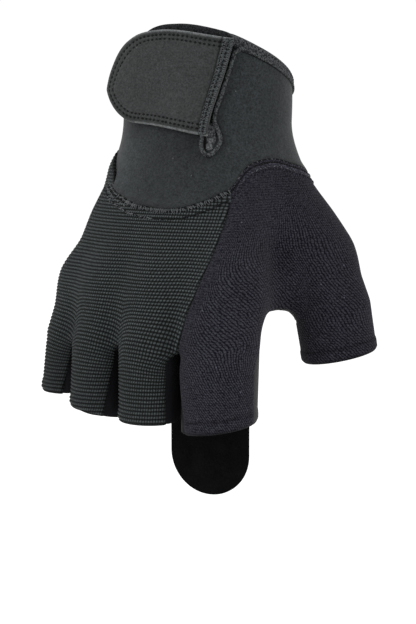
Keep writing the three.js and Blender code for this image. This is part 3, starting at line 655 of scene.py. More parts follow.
@dataclass
class Sheet:
    """A sheet of cloth: its outer points with their normals, and the faces between them.

    flat is where each point lies in the cloth, height how far it stands out and tone how bright it
    is, 1 where plain, with wear and painted light and shade.
    """

    points: Array
    normals: Array
    quads: Array
    flat: Array | None = None
    height: Number = 0.0
    tone: Number = 1.0

    def free_edges(self) -> Array:
        """Find the edges with a face on one side only.

        Returns:
            Their ends, running as their face does.
        """
        q = self.quads
        edges = np.concatenate([q[:, [0, 1]], q[:, [1, 2]], q[:, [2, 3]], q[:, [3, 0]]])
        edges = edges[edges[:, 0] != edges[:, 1]]
        keys = edges.min(axis=1).astype(np.int64) * len(self.points) + edges.max(axis=1)
        _, first, count = np.unique(keys, return_index=True, return_counts=True)
        return edges[first[count == 1]]

    def from_edge(self) -> Array:
        """Distance of each point from the nearest free edge, up to EDGE_REACH."""
        return nearest(self.points, self.points[np.unique(self.free_edges())], EDGE_REACH)

    def solid(self, name: str, thickness: float, bulge: float = 0.5) -> Piece:
        """Close the sheet to a piece with a round rim.

        Args:
            name: the piece's name.
            thickness: how far the inner face lies below the outer points.
            bulge: how far the rim stands out, as a share of half the thickness.

        Returns:
            The new object.
        """
        count = len(self.points)
        height, tone = (np.broadcast_to(values, (count,)) for values in (self.height, self.tone))
        outer, inner = self.points + self.normals * height[:, None], self.points - self.normals * thickness
        edges = self.free_edges()
        rim = np.unique(edges)
        run = unit(outer[edges[:, 1]] - outer[edges[:, 0]])
        outward = np.zeros((count, 3))
        for end in edges.T:
            np.add.at(outward, end, -np.cross(self.normals[end], run))
        away, half = unit(outward[rim]), (height[rim] + thickness) / 2
        blocks, rings = [outer, inner], [np.arange(count)]
        for k in range(1, RIM_BANDS):
            turn = math.pi * k / RIM_BANDS
            depth = (height[rim] - thickness) / 2 + half * math.cos(turn)
            out = half * bulge * math.sin(turn)
            blocks.append(self.points[rim] + self.normals[rim] * depth[:, None] + away * out[:, None])
            rings.append(np.zeros(count, dtype=int))
            rings[-1][rim] = 2 * count + (k - 1) * len(rim) + np.arange(len(rim))
        rings.append(np.arange(count) + count)
        a, b = edges.T
        faces = [self.quads, self.quads[:, ::-1] + count]
        faces += [np.stack((near[b], near[a], far[a], far[b]), axis=1) for near, far in zip(rings, rings[1:])]
        rows = [tuple(dict.fromkeys(row)) for row in np.concatenate(faces).tolist()]
        again = np.concatenate([np.arange(count)] * 2 + [rim] * (RIM_BANDS - 1))
        flat = None if self.flat is None else self.flat[again]
        return make_object(name, np.concatenate(blocks), [row for row in rows if len(row) > 2], flat, tone[again])


@cache
def stitch_bead(segments: int = 6, rings: int = 4) -> tuple[Array, list]:
    """Model the stitch that every seam copies: a bead along its own X with a flattened underside.

    Args:
        segments: faces round it.
        rings: faces along it.

    Returns:
        Its points and faces.
    """
    clear_selection()
    bpy.ops.mesh.primitive_uv_sphere_add(segments=segments, ring_count=rings, radius=0.5)
    bead = bpy.context.object
    bpy.ops.object.mode_set(mode="EDIT")
    bpy.ops.mesh.select_all(action="SELECT")
    bpy.ops.transform.rotate(value=math.pi / 2, orient_axis="Y", center_override=(0, 0, 0))
    bpy.ops.mesh.select_all(action="DESELECT")
    bpy.ops.object.mode_set(mode="OBJECT")
    for vertex in bead.data.vertices:
        vertex.select = vertex.co.z < -0.1
    bpy.ops.object.mode_set(mode="EDIT")
    bpy.ops.transform.resize(value=(1, 1, 0.5), center_override=(0, 0, 0))
    bpy.ops.object.mode_set(mode="OBJECT")
    points = np.array([tuple(vertex.co) for vertex in bead.data.vertices])
    faces = [tuple(face.vertices) for face in bead.data.polygons]
    bpy.data.objects.remove(bead, do_unlink=True)
    return points, faces


@dataclass(frozen=True)
class Stitches:
    """How a row of stitches looks: step, length, width and height in millimetres, turn in degrees."""

    pitch: float
    length: float
    width: float
    height: float
    turn: float = 0.0
    lift: float = 0.0
    alternate: bool = False
    wobble: float = 0.06

    def places(self, points: Array, normals: Array) -> tuple[Array, Array, Array]:
        """Share out the stitches along a path.

        Args:
            points: the path.
            normals: surface normals along it.

        Returns:
            Positions, tangents and normals of the stitches.
        """
        length = lengths(points)
        count = max(int(round(length[-1] / self.pitch)), 1)
        marks = (np.arange(count) + 0.5) / count * length[-1]
        ahead = sample(np.minimum(marks + 0.2, length[-1]), length, points)
        behind = sample(np.maximum(marks - 0.2, 0), length, points)
        return sample(marks, length, points), unit(ahead - behind), unit(sample(marks, length, normals))


class Thread:
    """Stitches gathered for one piece."""

    def __init__(self, seed: int) -> None:
        """Start with no stitches.

        Args:
            seed: seed of the small differences between stitches.
        """
        self.random = np.random.default_rng(seed)
        self.points: list[Array] = []
        self.faces: list[tuple] = []

    def sew(self, points: Array, normals: Array, row: Stitches, side: float = 0.0) -> None:
        """Add a row of stitches along a path.

        Args:
            points: the path.
            normals: surface normals along it.
            row: how the stitches look.
            side: distance from the path to its right.
        """
        place, along, up = row.places(points, normals)
        across = unit(np.cross(along, up))
        count = len(place)
        jitter = self.random.normal(0, row.wobble, (count, 4))
        turn = np.radians(np.full(count, row.turn)) + jitter[:, 3] * 2
        if row.alternate:
            turn = turn * np.where(np.arange(count) % 2, 1, -1)
        x = along * np.cos(turn)[:, None] + across * np.sin(turn)[:, None]
        base = place + across * side + up * row.lift + along * (jitter[:, :1] * row.length)
        bead, bead_faces = stitch_bead()
        size = (1 + jitter[:, :3]) * (row.length, row.width, row.height)
        frames = np.stack((x, np.cross(up, x), up), axis=1)
        first = sum(len(made) for made in self.points)
        self.points.append((base[:, None] + (bead * size[:, None]) @ frames).reshape(-1, 3))
        for start in range(first, first + count * len(bead), len(bead)):
            self.faces.extend(tuple(v + start for v in face) for face in bead_faces)

    def cut(self, name: str, cloth: "Cloth", slot: str) -> Piece:
        """Make one dressed piece of all the stitches."""
        return dress(make_object(name, np.concatenate(self.points), self.faces, angle=80), cloth, slot)


def tube(
    name: str, points: Array, normals: Array, radius: Array, sides: int, twist: float, ridge: float
) -> Piece:
    """Make a round cord with ridges wound round it and domed ends.

    Args:
        name: the piece's name.
        points: its middle line.
        normals: surface normals along it.
        radius: radius at each point.
        sides: faces round it.
        twist: distance along the cord between two ridges.
        ridge: height of the ridges.

    Returns:
        The new object.
    """
    along = unit(np.gradient(points, axis=0))
    across = unit(np.cross(along, normals))
    up = np.cross(across, along)
    turn = np.linspace(0, 2 * math.pi, sides, endpoint=False)
    grow = radius[:, None] + ridge * np.sin(2 * math.pi * lengths(points)[:, None] / twist + turn)
    out = across[:, None] * np.cos(turn)[:, None] + up[:, None] * np.sin(turn)[:, None]
    rings = points[:, None] + grow[..., None] * out
    count = len(points) * sides
    ids = np.arange(count).reshape(-1, sides)
    ids = np.concatenate((ids, ids[:, :1]), axis=1)
    faces = quads_of(ids).tolist()
    ends = np.stack((points[0] - along[0] * radius[0] * 0.5, points[-1] + along[-1] * radius[-1] * 0.5))
    for k in range(sides):
        faces += [[count, int(ids[0, k]), int(ids[0, k + 1])], [count + 1, int(ids[-1, k + 1]), int(ids[-1, k])]]
    return make_object(name, np.concatenate((rings.reshape(-1, 3), ends)), faces, angle=80)


# Finishes


class Value:
    """A number that varies over a surface, used in Python expressions."""

    def __init__(self, tree: bpy.types.NodeTree, socket: bpy.types.NodeSocket) -> None:
        """Wrap an output socket of a node tree."""
        self.tree = tree
        self.socket = socket

    def math(self, operation: str, *values: "Value | float") -> "Value":
        """Add a Math node.

        Args:
            operation: the node's operation.
            values: its inputs in order.

        Returns:
            The node's result.
        """
        node = self.tree.nodes.new("ShaderNodeMath")
        node.operation = operation
        for socket, value in zip(node.inputs, values):
            if isinstance(value, Value):
                self.tree.links.new(value.socket, socket)
            else:
                socket.default_value = value
        return Value(self.tree, node.outputs[0])

    def __add__(self, other: "Value | float") -> "Value":
        """Sum."""
        return self.math("ADD", self, other)

    def __mul__(self, other: "Value | float") -> "Value":
        """Product."""
        return self.math("MULTIPLY", self, other)

    __radd__ = __add__
    __rmul__ = __mul__

    def __sub__(self, other: "Value | float") -> "Value":
        """Difference."""
        return self.math("SUBTRACT", self, other)

    def __rsub__(self, other: "Value | float") -> "Value":
        """Difference from a number."""
        return self.math("SUBTRACT", other, self)

    def __truediv__(self, other: "Value | float") -> "Value":
        """Quotient."""
        return self.math("DIVIDE", self, other)

    def __pow__(self, other: "Value | float") -> "Value":
        """Power."""
        return self.math("POWER", self, other)

    def wave(self) -> "Value":
        """Rounded ridges between sharp grooves, one for each whole number."""
        return self.math("ABSOLUTE", self.math("SINE", self * math.pi))

    def clamp(self) -> "Value":
        """Limit to between 0 and 1."""
        return self.math("MINIMUM", self.math("MAXIMUM", self, 0.0), 1.0)

    def between(self, low: float, high: float) -> "Value":
        """Rise smoothly from 0 at low to 1 at high."""
        x = ((self - low) / (high - low)).clamp()
        return x * x * (3.0 - 2.0 * x)


class Recipe:
    """A material under construction."""

    def __init__(self, name: str) -> None:
        """Start an empty material.

        Args:
            name: its name.
        """
        self.material = bpy.data.materials.new(name)
        self.material.use_nodes = True
        self.tree = self.material.node_tree
        self.tree.nodes.clear()

    def node(
        self, kind: str, settings: dict | None = None, inputs: dict | None = None, output: str | int = 0
    ) -> Value | None:
        """Add a node.

        Args:
            kind: the node's type.
            settings: its properties, set first.
            inputs: values or links of its sockets.
            output: which output is wanted.

        Returns:
            That output, or None where the node has none.
        """
        made = self.tree.nodes.new(kind)
        for key, value in (settings or {}).items():
            setattr(made, key, value)
        for key, value in (inputs or {}).items():
            if isinstance(value, Value):
                self.tree.links.new(value.socket, made.inputs[key])
            else:
                made.inputs[key].default_value = value
        return Value(self.tree, made.outputs[output]) if made.outputs else None

    def place(self) -> Value:
        """Object coordinates, in metres."""
        return self.node("ShaderNodeTexCoord", output="Object")

    def cloth(self) -> tuple[Value, Value]:
        """The two coordinates of the cloth's own UV map."""
        split = self.node("ShaderNodeSeparateXYZ", {}, {"Vector": self.node("ShaderNodeUVMap", {"uv_map": "cloth"})})
        return split, Value(self.tree, split.socket.node.outputs[1])

    def tone(self) -> Value:
        """Brightness from the tone attribute, with wear and painted light and shade."""
        return self.node("ShaderNodeAttribute", {"attribute_name": "tone"}, output="Fac")

    def noise(self, size: float, detail: float = 2.0, roughness: float = 0.5) -> Value:
        """Noise about 0.5: the size of its blotches in millimetres, its octaves and their strength."""
        inputs = {"Vector": self.place(), "Scale": 1 / (size * MM), "Detail": detail, "Roughness": roughness}
        return self.node("ShaderNodeTexNoise", {}, inputs)

    def cells(self, size: float) -> Value:
        """Distance from the nearest of scattered points, as a share of their spacing in millimetres."""
        inputs = {"Vector": self.place(), "Scale": 1 / (size * MM)}
        return self.node("ShaderNodeTexVoronoi", {"feature": "F1"}, inputs)

    def lint(self, spacing: float, radius: float) -> Value:
        """Small specks by spacing and radius in millimetres, 1 in a speck and 0 elsewhere."""
        away = self.cells(spacing) + (self.noise(0.6) - 0.5) * (radius / spacing)
        return 1.0 - away.between(0.5 * radius / spacing, 1.2 * radius / spacing)

    def blend(self, share: Value, low: Colour, high: Colour) -> Value:
        """Mix two colours by a share."""
        settings = {"data_type": "RGBA", "clamp_factor": False}
        return self.node("ShaderNodeMix", settings, {0: share, 6: (*low, 1), 7: (*high, 1)}, 2)

    def finish(self, inputs: dict) -> bpy.types.Material:
        """End the material with a Principled shader of these inputs."""
        self.node("ShaderNodeOutputMaterial", {}, {"Surface": self.node("ShaderNodeBsdfPrincipled", {}, inputs)})
        return self.material


@dataclass(frozen=True)
class Cloth:
    """A finish of woven, knitted or moulded cloth.

    deep and face are its colours in the grooves and on the raised threads; relief is the depth of
    its weave in millimetres.
    """

    name: str
    deep: Colour
    face: Colour
    roughness: float = 0.92
    specular: float = 0.12
    sheen: float = 0.06
    relief: float = 0.1

    def pattern(self, recipe: Recipe) -> tuple[Value, Value]:
        """Height and brightness of the weave, each between 0 and 1."""
        grain = recipe.noise(0.5, 3.0, 0.6)
        return grain, grain

    def material(self) -> bpy.types.Material:
        """Build the finish once.

        Returns:
            The new material, or the one already built.
        """
        if self.name in bpy.data.materials:
            return bpy.data.materials[self.name]
        recipe = Recipe(self.name)
        height, bright = self.pattern(recipe)
        mottle = recipe.noise(9.0, 3.0, 0.55) * 0.3 + 0.85
        base = recipe.blend(bright.math("MAXIMUM", bright, 0.0), self.deep, self.face)
        scaled = {"Vector": base, "Scale": mottle * recipe.tone()}
        bump = {"Strength": 1.0, "Distance": self.relief * MM, "Height": height}
        return recipe.finish({
            "Base Color": recipe.node("ShaderNodeVectorMath", {"operation": "SCALE"}, scaled),
            "Normal": recipe.node("ShaderNodeBump", {}, bump),
            "Roughness": self.roughness, "Specular IOR Level": self.specular, "Sheen Weight": self.sheen,
            "Sheen Roughness": 0.5,
        })


@dataclass(frozen=True)
class RibKnit(Cloth):
    """Ribbed elastic knit: ribs across, loop columns along. Its UV map counts loops and ribs."""

    def pattern(self, recipe: Recipe) -> tuple[Value, Value]:
        """Build the height and brightness of ribs and loops, with painted shade in the rib grooves.

        Args:
            recipe: the material it is built in.

        Returns:
            The height, then the brightness.
        """
        u, v = recipe.cloth()
        rib = (v + (recipe.noise(1.1) - 0.5) * 0.22).wave()
        loop = (u + v * 0.12 + (recipe.noise(1.6) - 0.5) * 0.4).wave()
        grain = recipe.noise(0.4, 2.0, 0.6)
        crest = rib.between(0.38, 1.0)
        # Painted shade: brightness falls from the rib crests into the grooves.
        bright = (crest * 0.86 + 0.14) * (0.1 + 0.9 * loop.between(0.2, 0.95)) * (grain * 2.4 - 0.3)
        return crest * (0.35 + 0.65 * loop ** 0.7) + grain * 0.3, bright


@dataclass(frozen=True)
class FineKnit(Cloth):
    """Fine jersey of small uneven loops with a nap and a little lint. Its UV map is in millimetres."""

    pitch: float = 0.95

    def pattern(self, recipe: Recipe) -> tuple[Value, Value]:
        """Build the height and brightness of the loops, the nap and the lint.

        Args:
            recipe: the material it is built in.

        Returns:
            The height, then the brightness.
        """
        u, v = recipe.cloth()
        wale = (u / self.pitch + (recipe.noise(1.7) - 0.5) * 1.1).wave()
        course = (v / self.pitch + (recipe.noise(1.2) - 0.5) * 1.6).wave()
        nap = recipe.noise(0.6, 2.0, 0.6)
        loops = wale.between(0.1, 0.95) * (0.4 + 0.6 * course.between(0.1, 0.9))
        lint = recipe.lint(9.0, 0.36)
        return loops * 0.7 + nap * 0.6 + lint, loops * 1.2 + (nap - 0.5) * 3.0 - 0.12 + lint * 2.6


@dataclass(frozen=True)
class Neoprene(Cloth):
    """Foam rubber under a smooth, very fine jersey."""

    def pattern(self, recipe: Recipe) -> tuple[Value, Value]:
        """Build the height and brightness of the fine jersey.

        Args:
            recipe: the material it is built in.

        Returns:
            The height, then the brightness.
        """
        grain, soft = recipe.noise(0.75, 2.0, 0.7), recipe.noise(2.6, 2.0, 0.5)
        bright = 0.5 + (grain - 0.5) * 2.6 + (soft - 0.5) * 0.7 + recipe.lint(7.0, 0.34) * 2.2
        return grain * 0.8 + soft * 0.6, bright


@dataclass(frozen=True)
class Elastic(Cloth):
    """Narrow woven elastic with short crossing threads."""

    size: float = 0.7

    def pattern(self, recipe: Recipe) -> tuple[Value, Value]:
        """Height and brightness of the crossing threads."""
        bead, grain = 1.0 - recipe.cells(self.size), recipe.noise(0.3, 2.0, 0.6)
        return bead + grain * 0.4, bead.between(0.15, 0.85) * (0.5 + grain)


@dataclass(frozen=True)
class Suede(Cloth):
    """Napped cloth with a short pile brushed in patches."""

    def pattern(self, recipe: Recipe) -> tuple[Value, Value]:
        """Height and brightness of the pile."""
        pile, patch = recipe.noise(0.7, 3.0, 0.7), recipe.noise(5.0, 3.0, 0.6)
        return pile + patch * 0.3, 0.45 + (pile - 0.5) * 2.6 + (patch - 0.5) * 1.3


NEOPRENE = Neoprene("neoprene_jersey", (0.006, 0.0072, 0.0077), (0.0195, 0.0222, 0.0236), 0.8, 0.06, 0.1, 0.06)
# Painted light: the cuff's neoprene made lighter for the tab, where more light falls on it.
TAB_NEOPRENE_PAINTED_LIGHTER = Neoprene("tab_neoprene_painted_lighter", (0.0105, 0.0112, 0.0113), (0.0285, 0.0302, 0.0306), 0.75, 0.07, 0.11, 0.06)
# The ribbed knit's deep colour is painted shade in its rib grooves.
RIB_KNIT = RibKnit("ribbed_elastic", (0.0022, 0.0026, 0.0026), (0.0492, 0.056, 0.0578), 0.85, 0.04, 0.03, 0.2)
FINE_KNIT = FineKnit("fine_jersey", (0.0024, 0.0022, 0.004), (0.0222, 0.0218, 0.0282), 0.95, 0.03, 0.03, 0.08)
PALM_SUEDE = Suede("palm_suede", (0.0025, 0.0025, 0.003), (0.0125, 0.0126, 0.014), 0.95, 0.025, 0.012, 0.08)
FLAP_SUEDE = Suede("flap_suede", (0.0005, 0.0005, 0.0005), (0.003, 0.003, 0.0034), 0.9, 0.03, 0.01, 0.06)
STRETCH = Cloth("stretch_cloth", (0.0016, 0.0016, 0.0019), (0.0085, 0.0088, 0.0105), 0.8, 0.05, 0.01, 0.05)
BINDING = Elastic("stitched_binding", (0.009, 0.0094, 0.0102), (0.056, 0.0585, 0.063), 0.85, 0.06, 0.03, 0.15)
TAPE = Elastic("woven_tape", (0.006, 0.0068, 0.007), (0.042, 0.047, 0.049), 0.85, 0.06, 0.03, 0.15)
PIPING = Elastic("overlocked_piping", (0.009, 0.0098, 0.0102), (0.056, 0.0605, 0.063), 0.85, 0.06, 0.03, 0.14, 0.75)
TONGUE = Elastic("tongue_elastic", (0.02, 0.021, 0.022), (0.1, 0.106, 0.11), 0.9, 0.05, 0.03, 0.12, 0.8)
DARK_THREAD = Cloth("dark_thread", (0.0008, 0.0008, 0.0009), (0.004, 0.004, 0.0045), 0.7, 0.08, 0.0, 0.04)
GREY_THREAD = Cloth("grey_thread", (0.03, 0.032, 0.0335), (0.085, 0.09, 0.094), 0.7, 0.08, 0.03, 0.04)


def dress(piece: Piece, cloth: Cloth, slot: str, *nodes: str) -> Piece:
    """Give a piece its finish and body, and hide the CAD nodes that it stands for.

    Args:
        piece: the object.
        cloth: its finish.
        slot: the record's material slot, not used.
        nodes: CAD nodes that it replaces.

    Returns:
        The object.
    """
    piece.data.materials.append(cloth.material())
    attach(piece, "root")
    if nodes:
        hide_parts(*nodes)
    LOG.info("%s: %d triangles", piece.name, sum(len(face.vertices) - 2 for face in piece.data.polygons))
    return piece


# The glove's parts


@dataclass
class Panel(Sheet):
    """A panel with its sleeves: each point's ring column, its shares of the way down to the webs
    and down a sleeve, and its distances from an edge and above the hem."""

    column: Array | None = None
    down: Array | None = None
    sleeve: Array | None = None
    edge: Array | None = None
    above: Array | None = None


@dataclass
class GlovePanels:
    """Back, side and palm panels, each with the sleeves that hang from it."""

    rib_pitch: tuple[float, float] = (1.28, 1.48)
    rib_change: tuple[float, float] = (-67.0, -85.0)
    rib_relief: float = 0.5
    loops_per_column: float = 23.6
    side_loops_per_column: float = 33.0
    dip: float = 4.0
    dip_span: tuple[float, float] = (-62.0, -89.0)
    hem_band: float = 4.8
    hem_rise: float = 0.35
    crease: float = 0.55
    crease_width: float = 0.5
    strip_span: tuple[float, float] = (-12.5, -33.0)
    strip_relief: float = 0.24
    strip_edge: tuple = ((0, 0.26), (0.3, 0.42), (0.62, 0.6), (0.8, 0.7), (1, 0.8))
    strip_rise: tuple = ((0, -0.4), (0.1, 0.8), (0.35, 1.5), (0.6, 0.8), (0.82, -0.1), (1, -0.9))
    knit_cloth: float = 1.6
    palm_cloth: float = 1.8

    def rib_phase(self, z: Array, column: Array, sleeve_share: Number = 0.0) -> Array:
        """Count ribs down the back, with the lines dipping at the webs.

        Args:
            z: heights.
            column: ring columns.
            sleeve_share: shares of the way down a sleeve, 0 above the webs.

        Returns:
            The ribs' count.
        """
        f = np.mod(column, 1.0)
        right_of_web = np.where(column < 1, 0.0, np.clip(1 - f / 0.26, 0, 1) ** 1.7)
        left_of_web = np.clip((f - 0.4) / 0.6, 0, 1) ** 1.7
        at_web = np.where((f == 0) & (column > 0), 1.0, np.maximum(right_of_web, left_of_web))
        reach = ease((z - self.dip_span[0]) / (self.dip_span[1] - self.dip_span[0]))
        level = -(z + self.dip * at_web * reach * (1 - ease(sleeve_share / 0.55)))
        start, end = -self.rib_change[0], -self.rib_change[1]
        slow, fast = 1 / self.rib_pitch[1], 1 / self.rib_pitch[0]
        t = np.clip((level - start) / (end - start), 0, 1)
        inside = (fast * t + (slow - fast) * t**2 / 2) * (end - start)
        return fast * np.minimum(level, start) + inside + slow * np.maximum(level - end, 0)

    def ribbed(self, sheet: Sheet, phase: Array, column: Array, relief: float) -> None:
        """Raise a sheet's ribs and lay its knit."""
        sheet.height = sheet.height + relief * (np.abs(np.sin(math.pi * phase)) ** 1.1 - 0.6)
        sheet.flat = np.stack((column * self.loops_per_column, phase), axis=1)

    def panel(self, first: int, last: int, steps: int, rows: int, sleeve_rows: int) -> Panel:
        """Lay out a panel with its sleeves, its creased edges and its turned, stitched hems.

        Args:
            first: its first ring column.
            last: its last ring column.
            steps: faces across one finger.
            rows: faces from wrist seam to webs.
            sleeve_rows: faces from web to hem.

        Returns:
            The panel.
        """
        s, column, quads = net(np.linspace(0, 1, rows + 1), np.linspace(first, last, (last - first) * steps + 1))
        blocks = [(*cast(glove_form, *glove_ray(column, s)), column, s, np.zeros(len(s)))]
        faces, count = [quads], len(s)
        webs = np.arange(count)[quads.max() - (last - first) * steps:]
        for start in range(first, last):
            share, across, _ = net(np.linspace(0, 1, sleeve_rows + 1)[1:], np.linspace(start, start + 1, steps + 1))
            blocks.append((*sleeve_point(start, across, share), across, np.ones(len(share)), share))
            own = np.arange(len(share)).reshape(sleeve_rows, -1) + count
            faces.append(quads_of(np.vstack((webs[(start - first) * steps:][:steps + 1], own))))
            count += len(share)
        points, normals, column, down, sleeve = (np.concatenate(block) for block in zip(*blocks))
        made = Panel(points, normals, np.concatenate(faces), column=column, down=down, sleeve=sleeve)
        made.edge = made.from_edge()
        start = np.minimum(np.floor(column), RING - 1).astype(int)
        angle = sleeve_angle(start, column, np.ones(count))
        hem = np.array([finger.hem_height(angle) for finger in FINGERS])[FINGER_BELOW[start], np.arange(count)]
        made.above = np.where(down < 1, FAR, (1 - sleeve) * (web_height(column) - hem))
        band = ease((self.hem_band + 0.5 - made.above) / 1.0)
        groove = bell(made.above - self.hem_band + 0.4, 0.45)
        made.height = self.hem_rise * band - 0.3 * groove - self.crease * bell(made.edge, self.crease_width)
        return made

    def back(self) -> Piece:
        """Make the ribbed back panel.

        Returns:
            The new piece.
        """
        panel = self.panel(0, 3, steps=34, rows=280, sleeve_rows=112)
        z = panel.points[:, 2]
        self.ribbed(panel, self.rib_phase(z, panel.column, panel.sleeve), panel.column, self.rib_relief)
        # Painted shade in the seam creases along the edges; also a lighter line 1 mm in from the edges near the side
        # panel, and darker towards the sleeves, most over the little finger.
        ridge = bell(panel.edge - 1.0, 0.4) * (panel.sleeve == 0) * (panel.column > 2)
        low = ease((-z - 72) / 25) * (0.16 + 0.16 * (panel.column < 1))
        panel.tone = (1 - 0.7 * bell(panel.edge, 0.4) + 0.35 * ridge) * (1 - low)
        return dress(panel.solid("back_panel_knit", self.knit_cloth, 0.6), RIB_KNIT, "rib_knit", "back_panel")

    def strip(self) -> Piece:
        """Make the back panel's edge that runs up the little finger's side over the cuff.

        Returns:
            The new piece.
        """
        down, across, quads = net(np.linspace(0, 1, 130), np.linspace(0, 1, 25))
        column = mix(-0.12, look_up(self.strip_edge, down), across)
        rise = look_up(self.strip_rise, down) * ease(across / 0.45) * (1 - 0.2 * ease((across - 0.8) / 0.2))
        points, normals = ring_point(column, mix(*self.strip_span, down), rise - 0.7 * (1 - ease(across / 0.3)))
        # Painted shadow: the strip's edge beside the neoprene is darkened to a black line.
        tone = 1 - 0.93 * bell(1 - across, 0.07) * (1 - ease((down - 0.7) / 0.2))
        sheet = Sheet(points, normals, quads, tone=tone)
        self.ribbed(sheet, self.rib_phase(points[:, 2], column), column, self.strip_relief)
        return dress(sheet.solid("back_panel_strip", 2.0, 0.3), RIB_KNIT, "rib_knit")

    def side(self) -> Piece:
        """Make the jersey side panel over index finger and thumb.

        Returns:
            The new piece.
        """
        panel = self.panel(3, 5, steps=52, rows=100, sleeve_rows=46)
        z = panel.points[:, 2]
        heights = np.linspace(0, 140, 281)
        wale_slope = mix(0.2, -0.6, ease((heights - 38) / 25))
        wale_drift = np.interp(-z, heights, np.cumsum(wale_slope) * 0.5)
        panel.flat = np.stack((panel.column * self.side_loops_per_column + wale_drift, z), axis=1)
        # Painted shadow at the thumb's web and painted shade in the seam creases along the edges; the thumb and the
        # hem's stitch line and edge are darker too.
        web_shade = bell(panel.column - THUMB_WEB[0], 0.3) * ease((-z - 40) / 25)
        thumb = ease((panel.column - 4.0) / 0.4)
        hem = bell(panel.above - self.hem_band + 0.4, 0.5) + 0.6 * bell(panel.above, 0.9)
        panel.tone = (1 - 0.5 * bell(panel.edge, self.crease_width)) * (1 - 0.04 * web_shade) * (1 - 0.15 * thumb)
        panel.tone *= 1 - 0.5 * np.minimum(hem, 1)
        return dress(panel.solid("side_panel_knit", self.knit_cloth, 0.6), FINE_KNIT, "fine_knit", "side_panel")

    def palm(self) -> Piece:
        """Make the palm panel.

        Returns:
            The new piece.
        """
        panel = self.panel(5, 10, steps=30, rows=80, sleeve_rows=34)
        # Painted shade in the seam creases along the edges.
        panel.tone = 1 - 0.3 * bell(panel.edge, self.crease_width)
        return dress(panel.solid("palm_panel_suede", self.palm_cloth, 0.6), PALM_SUEDE, "palm_suede", "palm_panel")

    def build(self) -> None:
        """Make the three panels and the back panel's strip."""
        for piece, flat, area, trim in (
            (self.back(), (0.100, 0.105), 0.0080, [self.strip()]), (self.side(), (0.110, 0.110), 0.0075, []),
            (self.palm(), (0.160, 0.110), 0.0135, []),
        ):
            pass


@dataclass
class Fourchettes:
    """Narrow gussets between the fingers, from one hem over the web to the next."""

    cloth: float = 1.2
    tuck: float = 0.7
    steps: int = 8
    rows: int = 22
    first_share: float = 0.06
    sag: float = 1.2

    def flank(self, number: int, finger: int) -> Surface:
        """Find a gusset's surface down one finger's side, between its back and palm panels.

        Args:
            number: the gusset's first finger.
            finger: the finger, which is the gusset's first or second.

        Returns:
            Points and normals by row from near the web, and by column.
        """
        own, last_side = FINGERS[finger], int(finger == number)
        s = np.linspace(self.first_share, 1, self.rows)
        back = own.dorsal[last_side] + own.lean[last_side] * (1 - s)
        palm = own.palmar[1 - last_side] - 360 * (1 - last_side)
        found = []
        for c in np.linspace(0, 1, self.steps + 1):
            if 0 < c < 1:
                angle = mix(back, palm, c)
                z = mix(web_height(np.full(len(s), number + 1.0)), own.hem_height(angle), s)
                found.append(cast(sleeve_form(finger), own.axis(z)[0], heading(angle)))
            else:
                start, column = (RING - 1 - finger, RING - 1.0 - number) if c else (finger, number + 1.0)
                found.append(sleeve_point(start, np.full(len(s), column), s))
        points, normals = zip(*found)
        return np.stack(points, axis=1), np.stack(normals, axis=1)

    def make(self, number: int) -> Piece:
        """Make the gusset between two fingers.

        Args:
            number: the finger on its little-finger side.

        Returns:
            The new piece.
        """
        (a, a_normal), (b, b_normal) = self.flank(number, number), self.flank(number, number + 1)
        webs = np.array([number + 1.0, RING - 1.0 - number])
        ends, end_normals = cast(glove_form, *glove_ray(webs, np.ones(2)))
        c = np.linspace(0, 1, self.steps + 1)[:, None]
        crotch = mix(*(ends - end_normals * self.cloth), c)
        crotch[:, 2] -= self.sag * np.sin(math.pi * c[:, 0])
        over = [((1 - t) ** 2 * a[0] + 2 * t * (1 - t) * crotch + t**2 * b[0]) for t in np.linspace(0, 1, 11)[1:-1]]
        over_normals = [
            unit(mix(a_normal[0], b_normal[0], t) + DOWN * 2 * t * (1 - t)) for t in np.linspace(0, 1, 11)[1:-1]
        ]
        points = np.concatenate((a[::-1], over, b))[::-1]
        up = np.concatenate((a_normal[::-1], over_normals, b_normal))[::-1].reshape(-1, 3)
        made = Sheet(points.reshape(-1, 3) - up * self.tuck, up, grid_quads(points.shape))
        made = made.solid(f"fourchette_{number + 1}_cloth", self.cloth, 0.4)
        return dress(made, STRETCH, "gusset_cloth", f"fourchette_{number + 1}")

    def build(self) -> None:
        """Make the three gussets."""
        for number in (Digit.PINKY, Digit.RING, Digit.MIDDLE):
            self.make(number)


